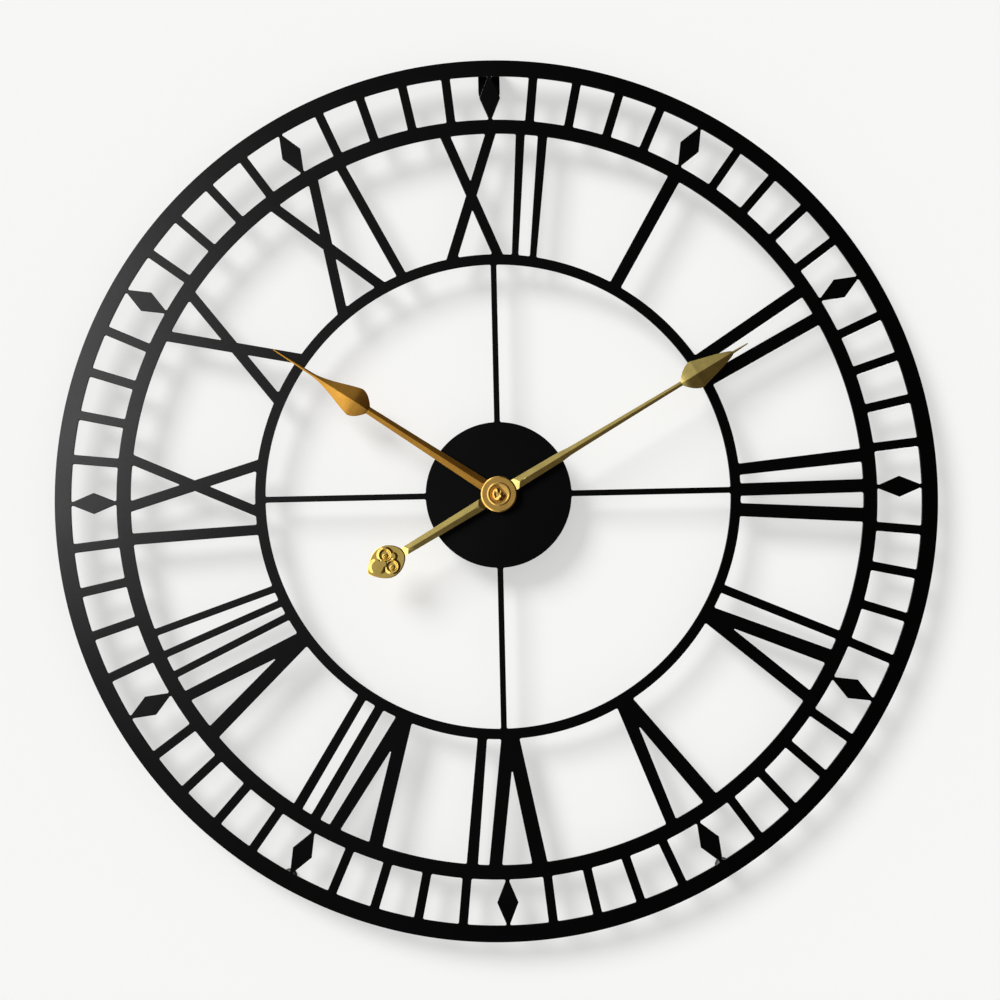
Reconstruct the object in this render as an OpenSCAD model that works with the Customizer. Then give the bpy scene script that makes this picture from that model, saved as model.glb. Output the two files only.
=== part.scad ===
// Wall clock: open sheet-metal dial with roman numerals, quartz movement behind its centre disc.
// X points right and Z up as the clock is read; -Y points at the reader and the wall is at Y = 0.
// The origin is where the hands' axis meets the wall. Angles of hands and hours run clockwise from 12.

/* [Dial] */
// Outer radius of the dial
dial_r = 300; // [290:1:320]
// Thickness of the dial's sheet metal
sheet_t = 2; // [1:0.5:3]
// Radial width of the outer ring
outer_ring_w = 11; // [8:0.5:13]
// Outer radius of the middle ring, under the minute track
middle_ring_r = 258.5; // [254:0.5:264]
// Radial width of the middle ring
middle_ring_w = 9.5; // [6:0.5:12]
// Outer radius of the inner ring, at the numerals' feet
inner_ring_r = 165; // [162:0.5:168]
// Radial width of the inner ring
inner_ring_w = 7; // [4:0.5:10]
// Radius of the centre disc that hides the movement
centre_disc_r = 49.6; // [42:0.2:60]
// Width of the four spokes
spoke_w = 4; // [3:0.5:6]
// Width of a minute bar
minute_bar_w = 6.2; // [4:0.1:8]
// Width of an hour diamond at its middle
diamond_w = 14.3; // [10:0.1:18]
// Width of the neck at each end of an hour diamond
diamond_neck_w = 1.6; // [1:0.1:3]

/* [Hanging] */
// Space between the wall and the dial's back
wall_gap = 17; // [17:0.5:20]
// Width of the hanging bracket
hanger_w = 15; // [14:0.5:20]
// Thickness of the bracket's strap
hanger_t = 1.2; // [1:0.1:1.5]
// Radius of the keyhole's round part
keyhole_r = 4; // [3:0.1:4.5]
// Width of the keyhole's slot
keyhole_slot_w = 3.6; // [3:0.1:4]
// Height of the keyhole's round part above the hands' axis
keyhole_z = 283; // [281:0.5:285]
// Radius of a wall bumper
bumper_r = 5; // [3:0.5:5.5]

/* [Hands] */
// Direction of the minute hand, clockwise from 12
minute_angle = 60; // [0:1:359]
// Direction of the hour hand, clockwise from 12
hour_angle = 304; // [0:1:359]
// Length of the minute hand from axis to tip
minute_tip_r = 198; // [190:1:210]
// Length of the minute hand's tail from axis to end
minute_tail_r = 103; // [98:1:106]
// Length of the hour hand from axis to tip
hour_tip_r = 182; // [170:1:190]
// Radius of the minute hand's hub
minute_hub_r = 12.2; // [10:0.1:14]
// Radius of the cap nut
cap_nut_r = 5.4; // [4.5:0.1:6]

/* [Movement] */
// Width and height of the movement's case
case_w = 56; // [56:0.5:58]
// Depth of the movement's case
case_d = 16; // [16:0.5:16.5]
// Radius of the case's corners
case_corner_r = 3; // [1:0.5:4]
// Radius of the threaded bushing
thread_r = 4; // [3.8:0.1:4.2]
// Width of the hexagon nut across its flats
nut_flats = 13; // [12:0.5:15]
// Radius of the battery
battery_r = 7.25; // [6.9:0.05:7.25]

/* [Gear train] */
// Teeth of the pinion on the motor's rotor
rotor_teeth = 10; // [10:1:10]
// Teeth of the three large train wheels
wheel_teeth = 60; // [60:1:60]
// Teeth of the pinion on the intermediate wheel
intermediate_teeth = 12; // [12:1:12]
// Teeth of the pinions on the fourth and third wheels
pinion_teeth = 8; // [8:1:8]
// Teeth of the centre wheel
centre_teeth = 64; // [64:1:64]
// Teeth of the cannon pinion and of the setting pinion
cannon_teeth = 12; // [12:1:12]
// Teeth of the minute wheel
minute_teeth = 36; // [36:1:36]
// Teeth of the pinion on the minute wheel
minute_pinion_teeth = 10; // [10:1:10]
// Teeth of the hour wheel
hour_teeth = 40; // [40:1:40]

/* [Hidden] */
$fn = 96;

BLACK = "#141414";
PLASTIC = "#2b2b2e";
BRASS = "#c9a24a";
STEEL = "#b4b7ba";

// Dial
dial_back = -wall_gap;
dial_front = dial_back - sheet_t;
track_top = dial_r - outer_ring_w;
numeral_top = middle_ring_r - middle_ring_w;
numeral_foot = inner_ring_r;
spoke_top = inner_ring_r - inner_ring_w;
hour_step = 30;
minute_step = 6;

// Stack on the bushing, back to front
washer_t = 0.5;
nut_t = 2.5;
gasket_r = 10;
nut_back = dial_front - washer_t;
bushing_front = nut_back - nut_t - 1;
hour_back = bushing_front - 0.4;
hour_sheet_t = 0.8;
hour_ridge_t = 2.4;
hour_hub_r = 9;
hour_flange_front = hour_back - hour_sheet_t - 0.8;
pipe_front = hour_flange_front - 0.4;
minute_back = pipe_front - 0.8;
minute_sheet_t = 1;
minute_ridge_t = 2.4;
arm_ridge_t = 1.6;
minute_flange_front = minute_back - minute_sheet_t - 1;
cap_nut_t = 3;
hand_tip_w = 0.7;

// Bores and shafts, as radii
bushing_bore_r = 2.6;
pipe_r = 2.52;
pipe_bore_r = 1.92;
arbor_r = 1.84;
hand_seat_r = 1.55;
arbor_thread_r = 1.4;
wheel_seat_r = 1.2;
wheel_seat_back = -11.1;
wheel_seat_t = 0.6;
seat_gap = 0.02;
pivot_r = 0.35;
bearing_r = 0.4;
boss_r = 1.3;

// Case
case_wall = 1.5;
case_half = case_w / 2;
cavity_half = case_half - case_wall;
cover_t = 1.5;
bay_top = -12.2;
bay_floor = -case_d + 0.8;
cavity_floor = -case_d + case_wall;
partition_top = -11;
plate_front = -10.7;
plate_t = 0.8;
plate_back = plate_front + plate_t;
post = 23.5;

// Battery and contacts
battery_z = bay_top - 0.15 - battery_r;
battery_y = bay_floor + 0.05 + battery_r;
battery_left = -24.6;
battery_right = 24.9;
nub_r = 2.75;
nub_end = 25.9;
contact_t = 0.5;
strip_w = 2;
strip_back = -2.3;
board_z = 7;
riser_x = 20;

// Gear centres: the modules make each pair's pitch circles touch
centre_distance = 9;
intermediate_distance = 7.92;
rotor_distance = 7;
motion_distance = 8.4;
function polar(r, a) = [r * cos(a), r * sin(a)];
origin = [0, 0];
third_dir = 20;
intermediate_dir = 120;
rotor_dir = 100;
minute_dir = 200;
knob_dir = 170;
third_at = polar(centre_distance, third_dir);
intermediate_at = polar(intermediate_distance, intermediate_dir);
rotor_at = intermediate_at + polar(rotor_distance, rotor_dir);
minute_at = polar(motion_distance, minute_dir);
knob_at = minute_at + polar(motion_distance, knob_dir);

function gear_module(distance, teeth_a, teeth_b) = 2 * distance / (teeth_a + teeth_b);
third_m = gear_module(centre_distance, centre_teeth, pinion_teeth);
fourth_m = gear_module(centre_distance, wheel_teeth, pinion_teeth);
intermediate_m = gear_module(intermediate_distance, wheel_teeth, intermediate_teeth);
rotor_m = gear_module(rotor_distance, wheel_teeth, rotor_teeth);
cannon_m = gear_module(motion_distance, minute_teeth, cannon_teeth);
hour_m = gear_module(motion_distance, hour_teeth, minute_pinion_teeth);

// Direction of one tooth of gear B that leaves a gap facing a tooth of gear A.
// dir is the direction from A to B, and phase_a the direction of one tooth of A.
function mesh_phase(dir, phase_a, teeth_a, teeth_b) =
    dir + 180 - 180 / teeth_b + (dir - phase_a) * teeth_a / teeth_b;
minute_phase = mesh_phase(minute_dir, minute_dir, cannon_teeth, minute_teeth);
knob_phase = mesh_phase(knob_dir, minute_phase, minute_teeth, cannon_teeth);

// Coil and stator
coil_z = 22.3;
coil_y = -5.5;
coil_left = -10;
coil_right = 8;
core_w = 2;
core_t = 0.8;
foot_left = -13.75;
foot_right = 12.25;
foot_w = 3.5;
stator_front = -5.1;
stator_t = 0.8;
stator_gap_r = 2.6;
magnet_r = 2.25;

// Circuit board
board_left = 5;
board_right = 25.9;
board_top = 17;
board_front = -3.3;
board_t = 0.8;

// ---------------------------------------------------------------- helpers

// Plate parallel to the wall: the 2D child is drawn as the reader sees it.
module plate(back, thickness) {
    translate([0, back, 0]) rotate([90, 0, 0]) linear_extrude(thickness) children();
}

// Round bar along Y at a point of the plan, from its back face to its front face.
module bar(at, back, front, r) {
    plate(back, back - front) translate(at) circle(r = r);
}

module annulus(outer_r, inner_r) {
    difference() {
        circle(r = outer_r);
        circle(r = inner_r);
    }
}

module rectangle(left, right, bottom, top) {
    translate([left, bottom]) square([right - left, top - bottom]);
}

module rounded_square(half, r) {
    square([2 * half, 2 * (half - r)], center = true);
    square([2 * (half - r), 2 * half], center = true);
    for (x = [-1, 1], z = [-1, 1])
        translate([x * (half - r), z * (half - r)]) circle(r = r);
}

// Toothed disc with stubby straight-sided teeth, one of them pointing along phase.
module gear(at, teeth, m, phase) {
    pitch_r = teeth * m / 2;
    root_r = pitch_r - 1.1 * m;
    tip_r = pitch_r + 0.8 * m;
    step = 360 / teeth;
    root_half = 0.27 * step;
    tip_half = 0.12 * step;
    translate(at) polygon([
        for (i = [0:teeth - 1], corner = [
                polar(root_r, phase + i * step - root_half),
                polar(tip_r, phase + i * step - tip_half),
                polar(tip_r, phase + i * step + tip_half),
                polar(root_r, phase + i * step + root_half)])
            corner
    ]);
}

// ---------------------------------------------------------------- dial

module dial_plate() {
    color(BLACK) plate(dial_back, sheet_t) children();
}

module outer_ring() {
    dial_plate() annulus(dial_r, track_top);
}

module middle_ring() {
    dial_plate() annulus(middle_ring_r, numeral_top);
}

module inner_ring() {
    dial_plate() annulus(inner_ring_r, spoke_top);
}

module minute_bars() {
    dial_plate() intersection() {
        annulus(track_top, middle_ring_r);
        for (minute = [0:59])
            if (minute % 5 != 0)
                rotate(-minute * minute_step)
                    rectangle(-minute_bar_w / 2, minute_bar_w / 2, middle_ring_r - 2, track_top + 2);
    }
}

module diamond() {
    middle = (track_top + middle_ring_r) / 2;
    neck = diamond_neck_w / 2;
    rectangle(-neck, neck, middle_ring_r - 1, track_top + 1);
    polygon([
        [-neck, middle_ring_r], [-diamond_w / 2, middle], [-neck, track_top],
        [neck, track_top], [diamond_w / 2, middle], [neck, middle_ring_r]
    ]);
}

module hour_diamonds() {
    dial_plate() intersection() {
        annulus(track_top, middle_ring_r);
        for (hour = [0:11])
            rotate(-hour * hour_step) diamond();
    }
}

module spokes() {
    dial_plate() intersection() {
        annulus(spoke_top, centre_disc_r);
        union() {
            square([2 * spoke_top, spoke_w], center = true);
            square([spoke_w, 2 * spoke_top], center = true);
        }
    }
}

module centre_disc() {
    dial_plate() annulus(centre_disc_r, thread_r + 0.1);
}

// A numeral stands on the inner ring, and its strokes are drawn as they lie at 12 o'clock.
// A stroke is given by its middle and width where it meets the middle ring and the inner ring.
overrun = 0.15;
function at_height(t) = numeral_foot + (numeral_top - numeral_foot) * t;
function along(foot, top, t) = foot + (top - foot) * t;

module stroke(top_x, foot_x, top_w, foot_w) {
    polygon([
        for (end = [[-1, -overrun], [-1, 1 + overrun], [1, 1 + overrun], [1, -overrun]])
            [along(foot_x + end[0] * foot_w / 2, top_x + end[0] * top_w / 2, end[1]), at_height(end[1])]
    ]);
}

module cross(a_top, a_foot, b_top, b_foot, w) {
    stroke(a_top, a_foot, w, w);
    stroke(b_top, b_foot, w, w);
}

// The V's two legs are given by their middles and widths at the middle ring.
module vee(left_x, left_w, right_x, right_w, apex_x, apex_w, notch_t = 0.235) {
    left = left_x - left_w / 2;
    right = right_x + right_w / 2;
    difference() {
        stroke((left + right) / 2, apex_x, right - left, apex_w);
        notch(
            left_x + left_w / 2, right_x - right_w / 2,
            along(apex_x, (left + right) / 2, notch_t) + (left_w - right_w) / 8, notch_t
        );
    }
}

// Triangle cut out of a V from above, down to a share t of the numeral's height.
module notch(left, right, foot, t) {
    reach = (1 + overrun - t) / (1 - t);
    polygon([
        [foot, at_height(t)],
        [along(foot, left, reach), at_height(1 + overrun)],
        [along(foot, right, reach), at_height(1 + overrun)]
    ]);
}

module numeral(hour) {
    dial_plate() rotate(-hour * hour_step) intersection() {
        annulus(numeral_top, numeral_foot);
        union() children();
    }
}

module numeral_1() {
    numeral(1) stroke(1, 1, 9, 8.3);
}

module numeral_2() {
    numeral(2) {
        stroke(-12.5, -8, 9, 8.2);
        stroke(9.7, 7.3, 9, 8.6);
    }
}

module numeral_3() {
    numeral(3) {
        stroke(-22, -14, 9.2, 7.8);
        stroke(-1, 0, 9, 8.6);
        stroke(19, 13.7, 9.6, 9);
    }
}

module numeral_4() {
    numeral(4) {
        stroke(-27.5, -17.3, 6.2, 6);
        vee(-11.5, 10.1, 19.2, 8.4, 2.8, 12, 0.2);
    }
}

module numeral_5() {
    numeral(5) vee(-15.5, 10.6, 15.2, 7.6, 0.2, 12.5, 0.2);
}

module numeral_6() {
    numeral(6) {
        vee(-22.3, 10.5, 7.6, 8.8, -4.2, 12.5);
        stroke(23.4, 14.8, 7.8, 6.5);
    }
}

module numeral_7() {
    numeral(7) {
        vee(-41.5, 10, -11, 8, -17.2, 12);
        stroke(3.5, 1.3, 7, 6.5);
        stroke(17.4, 15.1, 6.8, 6.3);
    }
}

module numeral_8() {
    numeral(8) {
        vee(-37.9, 10, -7.3, 7.5, -15, 11.3);
        stroke(9.3, 3.5, 5, 5);
        stroke(24.6, 13.8, 5, 5);
        stroke(41, 24.6, 5, 5);
    }
}

module numeral_9() {
    numeral(9) {
        stroke(-24.8, -20.3, 7.8, 7);
        cross(-2.6, 23, 29.8, -7.3, 7.3);
    }
}

module numeral_10() {
    numeral(10) cross(-13.5, 15.6, 18.6, -14.8, 7.4);
}

module numeral_11() {
    numeral(11) {
        cross(-29.5, 5.2, 2.8, -25.4, 7.3);
        stroke(24.3, 21.4, 6.6, 6.6);
    }
}

module numeral_12() {
    numeral(12) {
        cross(-32, 3, 0, -27.5, 7.3);
        stroke(20.5, 15, 6.3, 4.6);
        stroke(36, 27.5, 6.8, 4.7);
    }
}

// ---------------------------------------------------------------- hanging

// Strap welded to the ring's back: out to the wall, then down to the keyhole.
module hanger_bracket() {
    top = dial_r - 1.2;
    foot = track_top + 1;
    end_r = hanger_w / 2;
    color(BLACK) {
        translate([-hanger_w / 2, dial_back, foot])
            cube([hanger_w, hanger_t, top - foot]);
        translate([-hanger_w / 2, dial_back + hanger_t, top - hanger_t])
            cube([hanger_w, wall_gap - 2 * hanger_t, hanger_t]);
        plate(0, hanger_t) difference() {
            union() {
                rectangle(-end_r, end_r, keyhole_z, top);
                translate([0, keyhole_z]) circle(r = end_r);
            }
            translate([0, keyhole_z]) circle(r = keyhole_r);
            rectangle(-keyhole_slot_w / 2, keyhole_slot_w / 2, keyhole_z, keyhole_z + keyhole_r + 4);
        }
    }
}

module wall_bumpers() {
    ring_middle = dial_r - outer_ring_w / 2;
    color("#1c1c1c") for (hour = [5, 7])
        bar(polar(ring_middle, 90 - hour * hour_step), 0, dial_back, bumper_r);
}

// ---------------------------------------------------------------- movement case

module front_case() {
    knob_boss_r = 2.3;
    color(PLASTIC) {
        difference() {
            plate(0, case_d) rounded_square(case_half, case_corner_r);
            // seat of the back cover, then the room for the train
            plate(1, cover_t + 1) rectangle(-case_w, case_w, bay_top, case_w);
            plate(1, 1 - cavity_floor) rectangle(-cavity_half, cavity_half, partition_top, cavity_half);
            // battery bay, open to the back
            plate(1, 1 - bay_floor) rectangle(-cavity_half, cavity_half, 1 - case_half, bay_top);
            // slots for the two contact strips
            for (x = [-cavity_half, nub_end])
                plate(strip_back, strip_w)
                    rectangle(x, x + cavity_half - nub_end, bay_top - 1, partition_top + 1);
            bar(origin, cavity_floor + 1, -case_d - 1, thread_r);
            bar(origin, cavity_floor + 1, cavity_floor - 0.8, thread_r + 1.2);
        }
        for (x = [-post, post], z = [-8.5, post])
            bar([x, z], plate_front, cavity_floor, 1.8);
        // bearing of the third wheel, stud of the minute wheel, bearing of the setting shaft
        difference() {
            bar(third_at, cavity_floor + 1.5, cavity_floor, boss_r);
            bar(third_at, cavity_floor + 2, cavity_floor + 0.3, bearing_r);
        }
        bar(minute_at, cavity_floor + 2.5, cavity_floor, 0.8);
        difference() {
            bar(knob_at, cavity_floor + 1.3, cavity_floor, knob_boss_r);
            bar(knob_at, cavity_floor + 2, cavity_floor + 0.3, 1.25);
        }
    }
}

module middle_plate() {
    color("#d9d4c4") {
        plate(plate_back, plate_t) difference() {
            rectangle(-cavity_half + 0.2, cavity_half - 0.2, partition_top + 0.2, cavity_half - 0.2);
            circle(r = 0.55);
            translate(third_at) circle(r = 1);
            for (at = [intermediate_at, rotor_at])
                translate(at) circle(r = bearing_r);
            translate(knob_at) circle(r = 2.9);
        }
        // posts under the coil core's feet and under the circuit board
        for (x = [foot_left, foot_right])
            bar([x, coil_z], coil_y - core_t / 2, plate_back, 1.2);
        for (z = [board_z + 1.5, board_top - 1.5])
            bar([board_right - 2, z], board_front, plate_back, 1);
    }
}

module cover_boss(at, front) {
    difference() {
        bar(at, -cover_t, front, boss_r);
        bar(at, -cover_t - 0.5, front - 1, bearing_r);
    }
}

module back_cover() {
    well_floor = -2.4;
    well_r = 5.6;
    color(PLASTIC) {
        difference() {
            union() {
                plate(0, cover_t) intersection() {
                    rounded_square(case_half, case_corner_r);
                    rectangle(-case_half, case_half, bay_top, case_half);
                }
                bar(knob_at, -cover_t, well_floor - 0.8, well_r + 0.8);
            }
            bar(knob_at, 1, well_floor, well_r);
            bar(knob_at, 1, -case_d, 2.56);
        }
        cover_boss(third_at, -7.9);
        cover_boss(origin, -7.1);
        cover_boss(intermediate_at, -5.7);
        cover_boss(rotor_at, -3.3);
    }
}

module threaded_bushing() {
    pitch = 0.75;
    root_r = thread_r - 0.35;
    turns = floor((dial_back - bushing_front) / pitch) - 1;
    color(BRASS) difference() {
        union() {
            bar(origin, cavity_floor, cavity_floor - 0.8, thread_r + 1.2);
            bar(origin, cavity_floor - 0.8, dial_back, thread_r);
            // threads as ridges on a core
            bar(origin, dial_back, bushing_front, root_r);
            translate([0, dial_back, 0]) rotate([90, 0, 0]) rotate_extrude() polygon([
                [0, 0],
                for (i = [0:turns], corner = [[root_r, 0.1], [thread_r, 0.35], [root_r, 0.6]])
                    [corner[0], i * pitch + corner[1]],
                [0, (turns + 1) * pitch]
            ]);
        }
        bar(origin, 0, bushing_front - 1, bushing_bore_r);
    }
}

module gasket() {
    color("#202020") plate(-case_d, wall_gap - case_d) annulus(gasket_r, thread_r);
}

module washer() {
    color(BRASS) plate(dial_front, washer_t) annulus(thread_r + 3.2, thread_r + 0.1);
}

module hex_nut() {
    color(BRASS) plate(nut_back, nut_t) difference() {
        circle(r = nut_flats / sqrt(3), $fn = 6);
        circle(r = thread_r + seat_gap);
    }
}

// ---------------------------------------------------------------- electrics

module circuit_board() {
    color("#2f6b3a") plate(board_front + board_t, board_t)
        rectangle(board_left, board_right, board_z, board_top);
}

module chip() {
    color("#0c0c0c") translate([18, board_front, 12.5]) rotate([90, 0, 0]) intersection() {
        cylinder(h = 1, r = 2.2);
        translate([0, 0, -2.2]) sphere(r = 3.2);
    }
}

module crystal() {
    can_r = 1;
    color(STEEL) translate([10.5, board_front - can_r, 9.3]) rotate([0, 90, 0]) {
        cylinder(h = 6, r = can_r);
        translate([0, 0, 6]) cylinder(h = 0.5, r = can_r * 0.7);
    }
}

module coil_bobbin() {
    flange = 3.3;
    tube_r = 1.7;
    color("#e8e2cf") translate([coil_left, coil_y, coil_z]) difference() {
        union() {
            rotate([0, 90, 0]) cylinder(h = coil_right - coil_left, r = tube_r);
            for (x = [0, coil_right - coil_left - 1])
                translate([x, -flange, -flange]) cube([1, 2 * flange, 2 * flange]);
        }
        translate([-1, -core_t / 2, -core_w / 2]) cube([coil_right - coil_left + 2, core_t, core_w]);
    }
}

module coil_winding() {
    color("#b5622c") translate([coil_left + 1, coil_y, coil_z]) rotate([0, 90, 0]) difference() {
        cylinder(h = coil_right - coil_left - 2, r = 3);
        translate([0, 0, -1]) cylinder(h = coil_right - coil_left, r = 1.7);
    }
}

module coil_core() {
    color(STEEL) plate(coil_y + core_t / 2, core_t) {
        rectangle(foot_left, foot_right, coil_z - core_w / 2, coil_z + core_w / 2);
        for (x = [foot_left, foot_right])
            translate([x, coil_z]) square(foot_w, center = true);
    }
}

// Two arms run from the coil's feet, under the bobbin, to the pole ring around the rotor.
module stator() {
    top = coil_z + foot_w / 2;
    left = foot_left - foot_w / 2;
    right = foot_right + foot_w / 2;
    pole_top = coil_z - 3.6;
    pole_bottom = rotor_at[1] - 4.2;
    color(STEEL) plate(stator_front + stator_t, stator_t) difference() {
        polygon([
            [left, top], [left + foot_w, top], [left + foot_w, pole_top], [right - foot_w, pole_top],
            [right - foot_w, top], [right, top], [right, coil_z - 3], [rotor_at[0] + 6, pole_bottom],
            [rotor_at[0] - 4.2, pole_bottom], [left, rotor_at[1] + 1.5]
        ]);
        translate(rotor_at) circle(r = stator_gap_r);
    }
}

module battery() {
    color("#3a3f46") translate([0, battery_y, battery_z]) rotate([0, 90, 0]) {
        translate([0, 0, battery_left]) cylinder(h = battery_right - battery_left, r = battery_r);
        translate([0, 0, battery_right]) cylinder(h = nub_end - battery_right, r = nub_r);
    }
}

module positive_contact() {
    color(STEEL) {
        plate(strip_back, 9) rectangle(nub_end, nub_end + contact_t, battery_z - 4, battery_z + 4);
        plate(strip_back, strip_w)
            rectangle(nub_end, nub_end + contact_t, battery_z + 4, board_top - 3);
    }
}

// The strip runs from the bay along the partition and up to the circuit board.
module negative_contact() {
    left = -nub_end - contact_t;
    shelf = partition_top + contact_t;
    color(STEEL) {
        plate(strip_back, 9) rectangle(left, left + contact_t, battery_z - 4, battery_z + 4);
        translate([left + contact_t, battery_y, battery_z]) rotate([0, 90, 0])
            cylinder(h = battery_left - left - contact_t, r = 2.5);
        plate(strip_back, strip_w) {
            rectangle(left, left + contact_t, battery_z + 4, partition_top);
            rectangle(left, riser_x, partition_top, shelf);
            rectangle(riser_x, riser_x + contact_t, partition_top, board_z);
        }
    }
}

// ---------------------------------------------------------------- gear train

module rotor() {
    color("#6d7075") {
        bar(rotor_at, -2.2, plate_front + 0.2, pivot_r);
        bar(rotor_at, -3.8, -9.5, 0.5);
        bar(rotor_at, -3.8, -5.6, magnet_r);
        plate(-5.9, 1) gear(rotor_at, rotor_teeth, rotor_m, rotor_dir + 180);
    }
}

module intermediate_wheel() {
    color("#efe9da") {
        bar(intermediate_at, -4.6, plate_front + 0.2, pivot_r);
        bar(intermediate_at, -6, -9.5, 0.6);
        plate(-7.3, 0.8) gear(intermediate_at, intermediate_teeth, intermediate_m, intermediate_dir + 180);
        plate(-6.1, 0.6) gear(intermediate_at, wheel_teeth, rotor_m, rotor_dir + 180 / wheel_teeth);
    }
}

module fourth_wheel() {
    wheel_phase = intermediate_dir + 180 / wheel_teeth;
    pinion_phase = third_dir + 180 / pinion_teeth;
    color("#efe9da") {
        bar(origin, -6.2, plate_back - 0.3, pivot_r);
        bar(origin, -7.4, -9.6, 0.5);
        plate(-8.7, 0.8) gear(origin, pinion_teeth, fourth_m, pinion_phase);
        plate(-7.4, 0.6) gear(origin, wheel_teeth, intermediate_m, wheel_phase);
    }
}

module third_wheel() {
    color("#efe9da") {
        bar(third_at, -7, -13.9, pivot_r);
        bar(third_at, -8.3, -12.7, 0.6);
        plate(-8.8, 0.6) gear(third_at, wheel_teeth, fourth_m, third_dir + 180);
        plate(-11, 0.8) gear(third_at, pinion_teeth, third_m, third_dir + 180);
    }
}

// Grips the arbor by friction, so that the hands can be set while the train stands still.
module centre_wheel() {
    color("#efe9da") plate(wheel_seat_back, wheel_seat_t) difference() {
        gear(origin, centre_teeth, third_m, third_dir + 180 / centre_teeth);
        circle(r = wheel_seat_r + seat_gap);
    }
}

// Carries the minute hand: pivot, seat of the centre wheel, cannon pinion and the long shaft.
module minute_arbor() {
    shoulder = wheel_seat_back - wheel_seat_t;
    color(BRASS) {
        bar(origin, plate_front + 0.3, wheel_seat_back, 0.5);
        bar(origin, wheel_seat_back, shoulder, wheel_seat_r);
        bar(origin, shoulder, -13.1, 1.6);
        plate(-12.1, 0.9) gear(origin, cannon_teeth, cannon_m, minute_dir);
        bar(origin, -13.1, minute_back, arbor_r);
        bar(origin, minute_back, minute_flange_front, hand_seat_r);
        bar(origin, minute_flange_front, minute_flange_front - 2, arbor_thread_r);
    }
}

module minute_wheel() {
    color("#efe9da") difference() {
        union() {
            plate(-12.1, 0.8) gear(minute_at, minute_teeth, cannon_m, minute_phase);
            plate(-12.9, 1.3) gear(minute_at, minute_pinion_teeth, hour_m, minute_dir + 180);
        }
        bar(minute_at, 0, -case_d, 0.85);
    }
}

// Carries the hour hand on its pipe.
module hour_wheel() {
    color("#efe9da") difference() {
        union() {
            plate(-13.4, 0.8) gear(origin, hour_teeth, hour_m, minute_dir + 180 / hour_teeth);
            bar(origin, -13.2, pipe_front, pipe_r);
        }
        bar(origin, 0, pipe_front - 1, pipe_bore_r);
    }
}

// Set from the back: the disc sits in the cover's well.
module setting_knob() {
    disc_r = 5.2;
    color("#b9b9b4") {
        difference() {
            bar(knob_at, -0.5, -1.9, disc_r);
            for (i = [0:11])
                bar(knob_at + polar(disc_r, i * 30), 0, -2.5, 0.6);
            bar(knob_at, 0, -1.1, disc_r - 1.6);
        }
        bar(knob_at, -1.9, -9.5, 2.5);
        bar(knob_at, -9.5, -13.9, 1.2);
        plate(-12.1, 0.8) gear(knob_at, cannon_teeth, cannon_m, knob_phase);
    }
}

// ---------------------------------------------------------------- hands

// A hand is drawn pointing at 12 and turned clockwise. Its sheet is raised to a ridge along its axis.
module point_at(angle) {
    rotate([0, angle, 0]) children();
}

module ridge(back, half_w, edge_t, peak_t, from_r, to_r) {
    translate([0, back, from_r]) linear_extrude(to_r - from_r) polygon([
        [-half_w, 0], [half_w, 0], [half_w, -edge_t], [0, -peak_t], [-half_w, -edge_t]
    ]);
}

module taper(from_r, to_r, from_w, to_w) {
    polygon([[-from_w / 2, from_r], [from_w / 2, from_r], [to_w / 2, to_r], [-to_w / 2, to_r]]);
}

// A leaf is [base_r, belly_r, neck_r, tip_r, base_w, belly_w, needle_w, swell, power]:
// round shoulders up to its belly, a taper to the neck, then a needle to the tip.
hour_leaf = [105.3, 116, 151.5, hour_tip_r, 5.2, 20.4, 2.2, 1.3, 1.8];
minute_leaf = [145, 157.6, 186, minute_tip_r, 3.2, 19.8, 1.9, 0.85, 0.72];

function leaf_half(leaf, r) =
    r < leaf[1]
    ? along(leaf[4], leaf[5], pow(sin(90 * (r - leaf[0]) / (leaf[1] - leaf[0])), 0.9)) / 2
    : r < leaf[2]
    ? along(leaf[6], leaf[5], pow(1 - pow((r - leaf[1]) / (leaf[2] - leaf[1]), leaf[7]), leaf[8])) / 2
    : along(leaf[6], hand_tip_w, (r - leaf[2]) / (leaf[3] - leaf[2])) / 2;

module leaf_outline(leaf) {
    shoulder = [for (i = [0:5]) along(leaf[0], leaf[1], i / 6)];
    blade = [for (i = [0:9]) along(leaf[1], leaf[2], i / 10)];
    needle = [for (i = [0:2]) along(leaf[2], leaf[3], i / 2)];
    stations = concat(shoulder, blade, needle);
    count = len(stations);
    polygon([
        for (i = [0:2 * count - 1])
            let (
                side = i < count ? 1 : -1,
                r = i < count ? stations[i] : stations[2 * count - 1 - i]
            )
                [side * leaf_half(leaf, r), r]
    ]);
}

module hour_hand() {
    leaf_base = hour_leaf[0];
    belly_w = hour_leaf[5];
    color(BRASS) point_at(hour_angle) difference() {
        union() {
            bar(origin, hour_back, hour_back - hour_sheet_t, hour_hub_r);
            intersection() {
                ridge(hour_back, 5, 0.3, arm_ridge_t, 0, leaf_base + 1);
                plate(hour_back, arm_ridge_t) {
                    taper(0, 48, 8.6, 6.9);
                    taper(48, leaf_base + 1, 6.9, hour_leaf[4]);
                }
            }
            intersection() {
                ridge(hour_back, belly_w / 2 + 1, 0.4, hour_ridge_t, leaf_base, hour_tip_r);
                plate(hour_back, hour_ridge_t) leaf_outline(hour_leaf);
            }
        }
        bar(origin, 0, -case_d - wall_gap, 4.2);
        bar(origin, hour_back - hour_sheet_t, -case_d - wall_gap, 6.1);
    }
}

module hour_collet() {
    color(BRASS) difference() {
        union() {
            bar(origin, hour_back, hour_back - hour_sheet_t, 4.2);
            bar(origin, hour_back - hour_sheet_t, hour_flange_front, 6);
        }
        bar(origin, 0, -case_d - wall_gap, pipe_r + seat_gap);
    }
}

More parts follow.
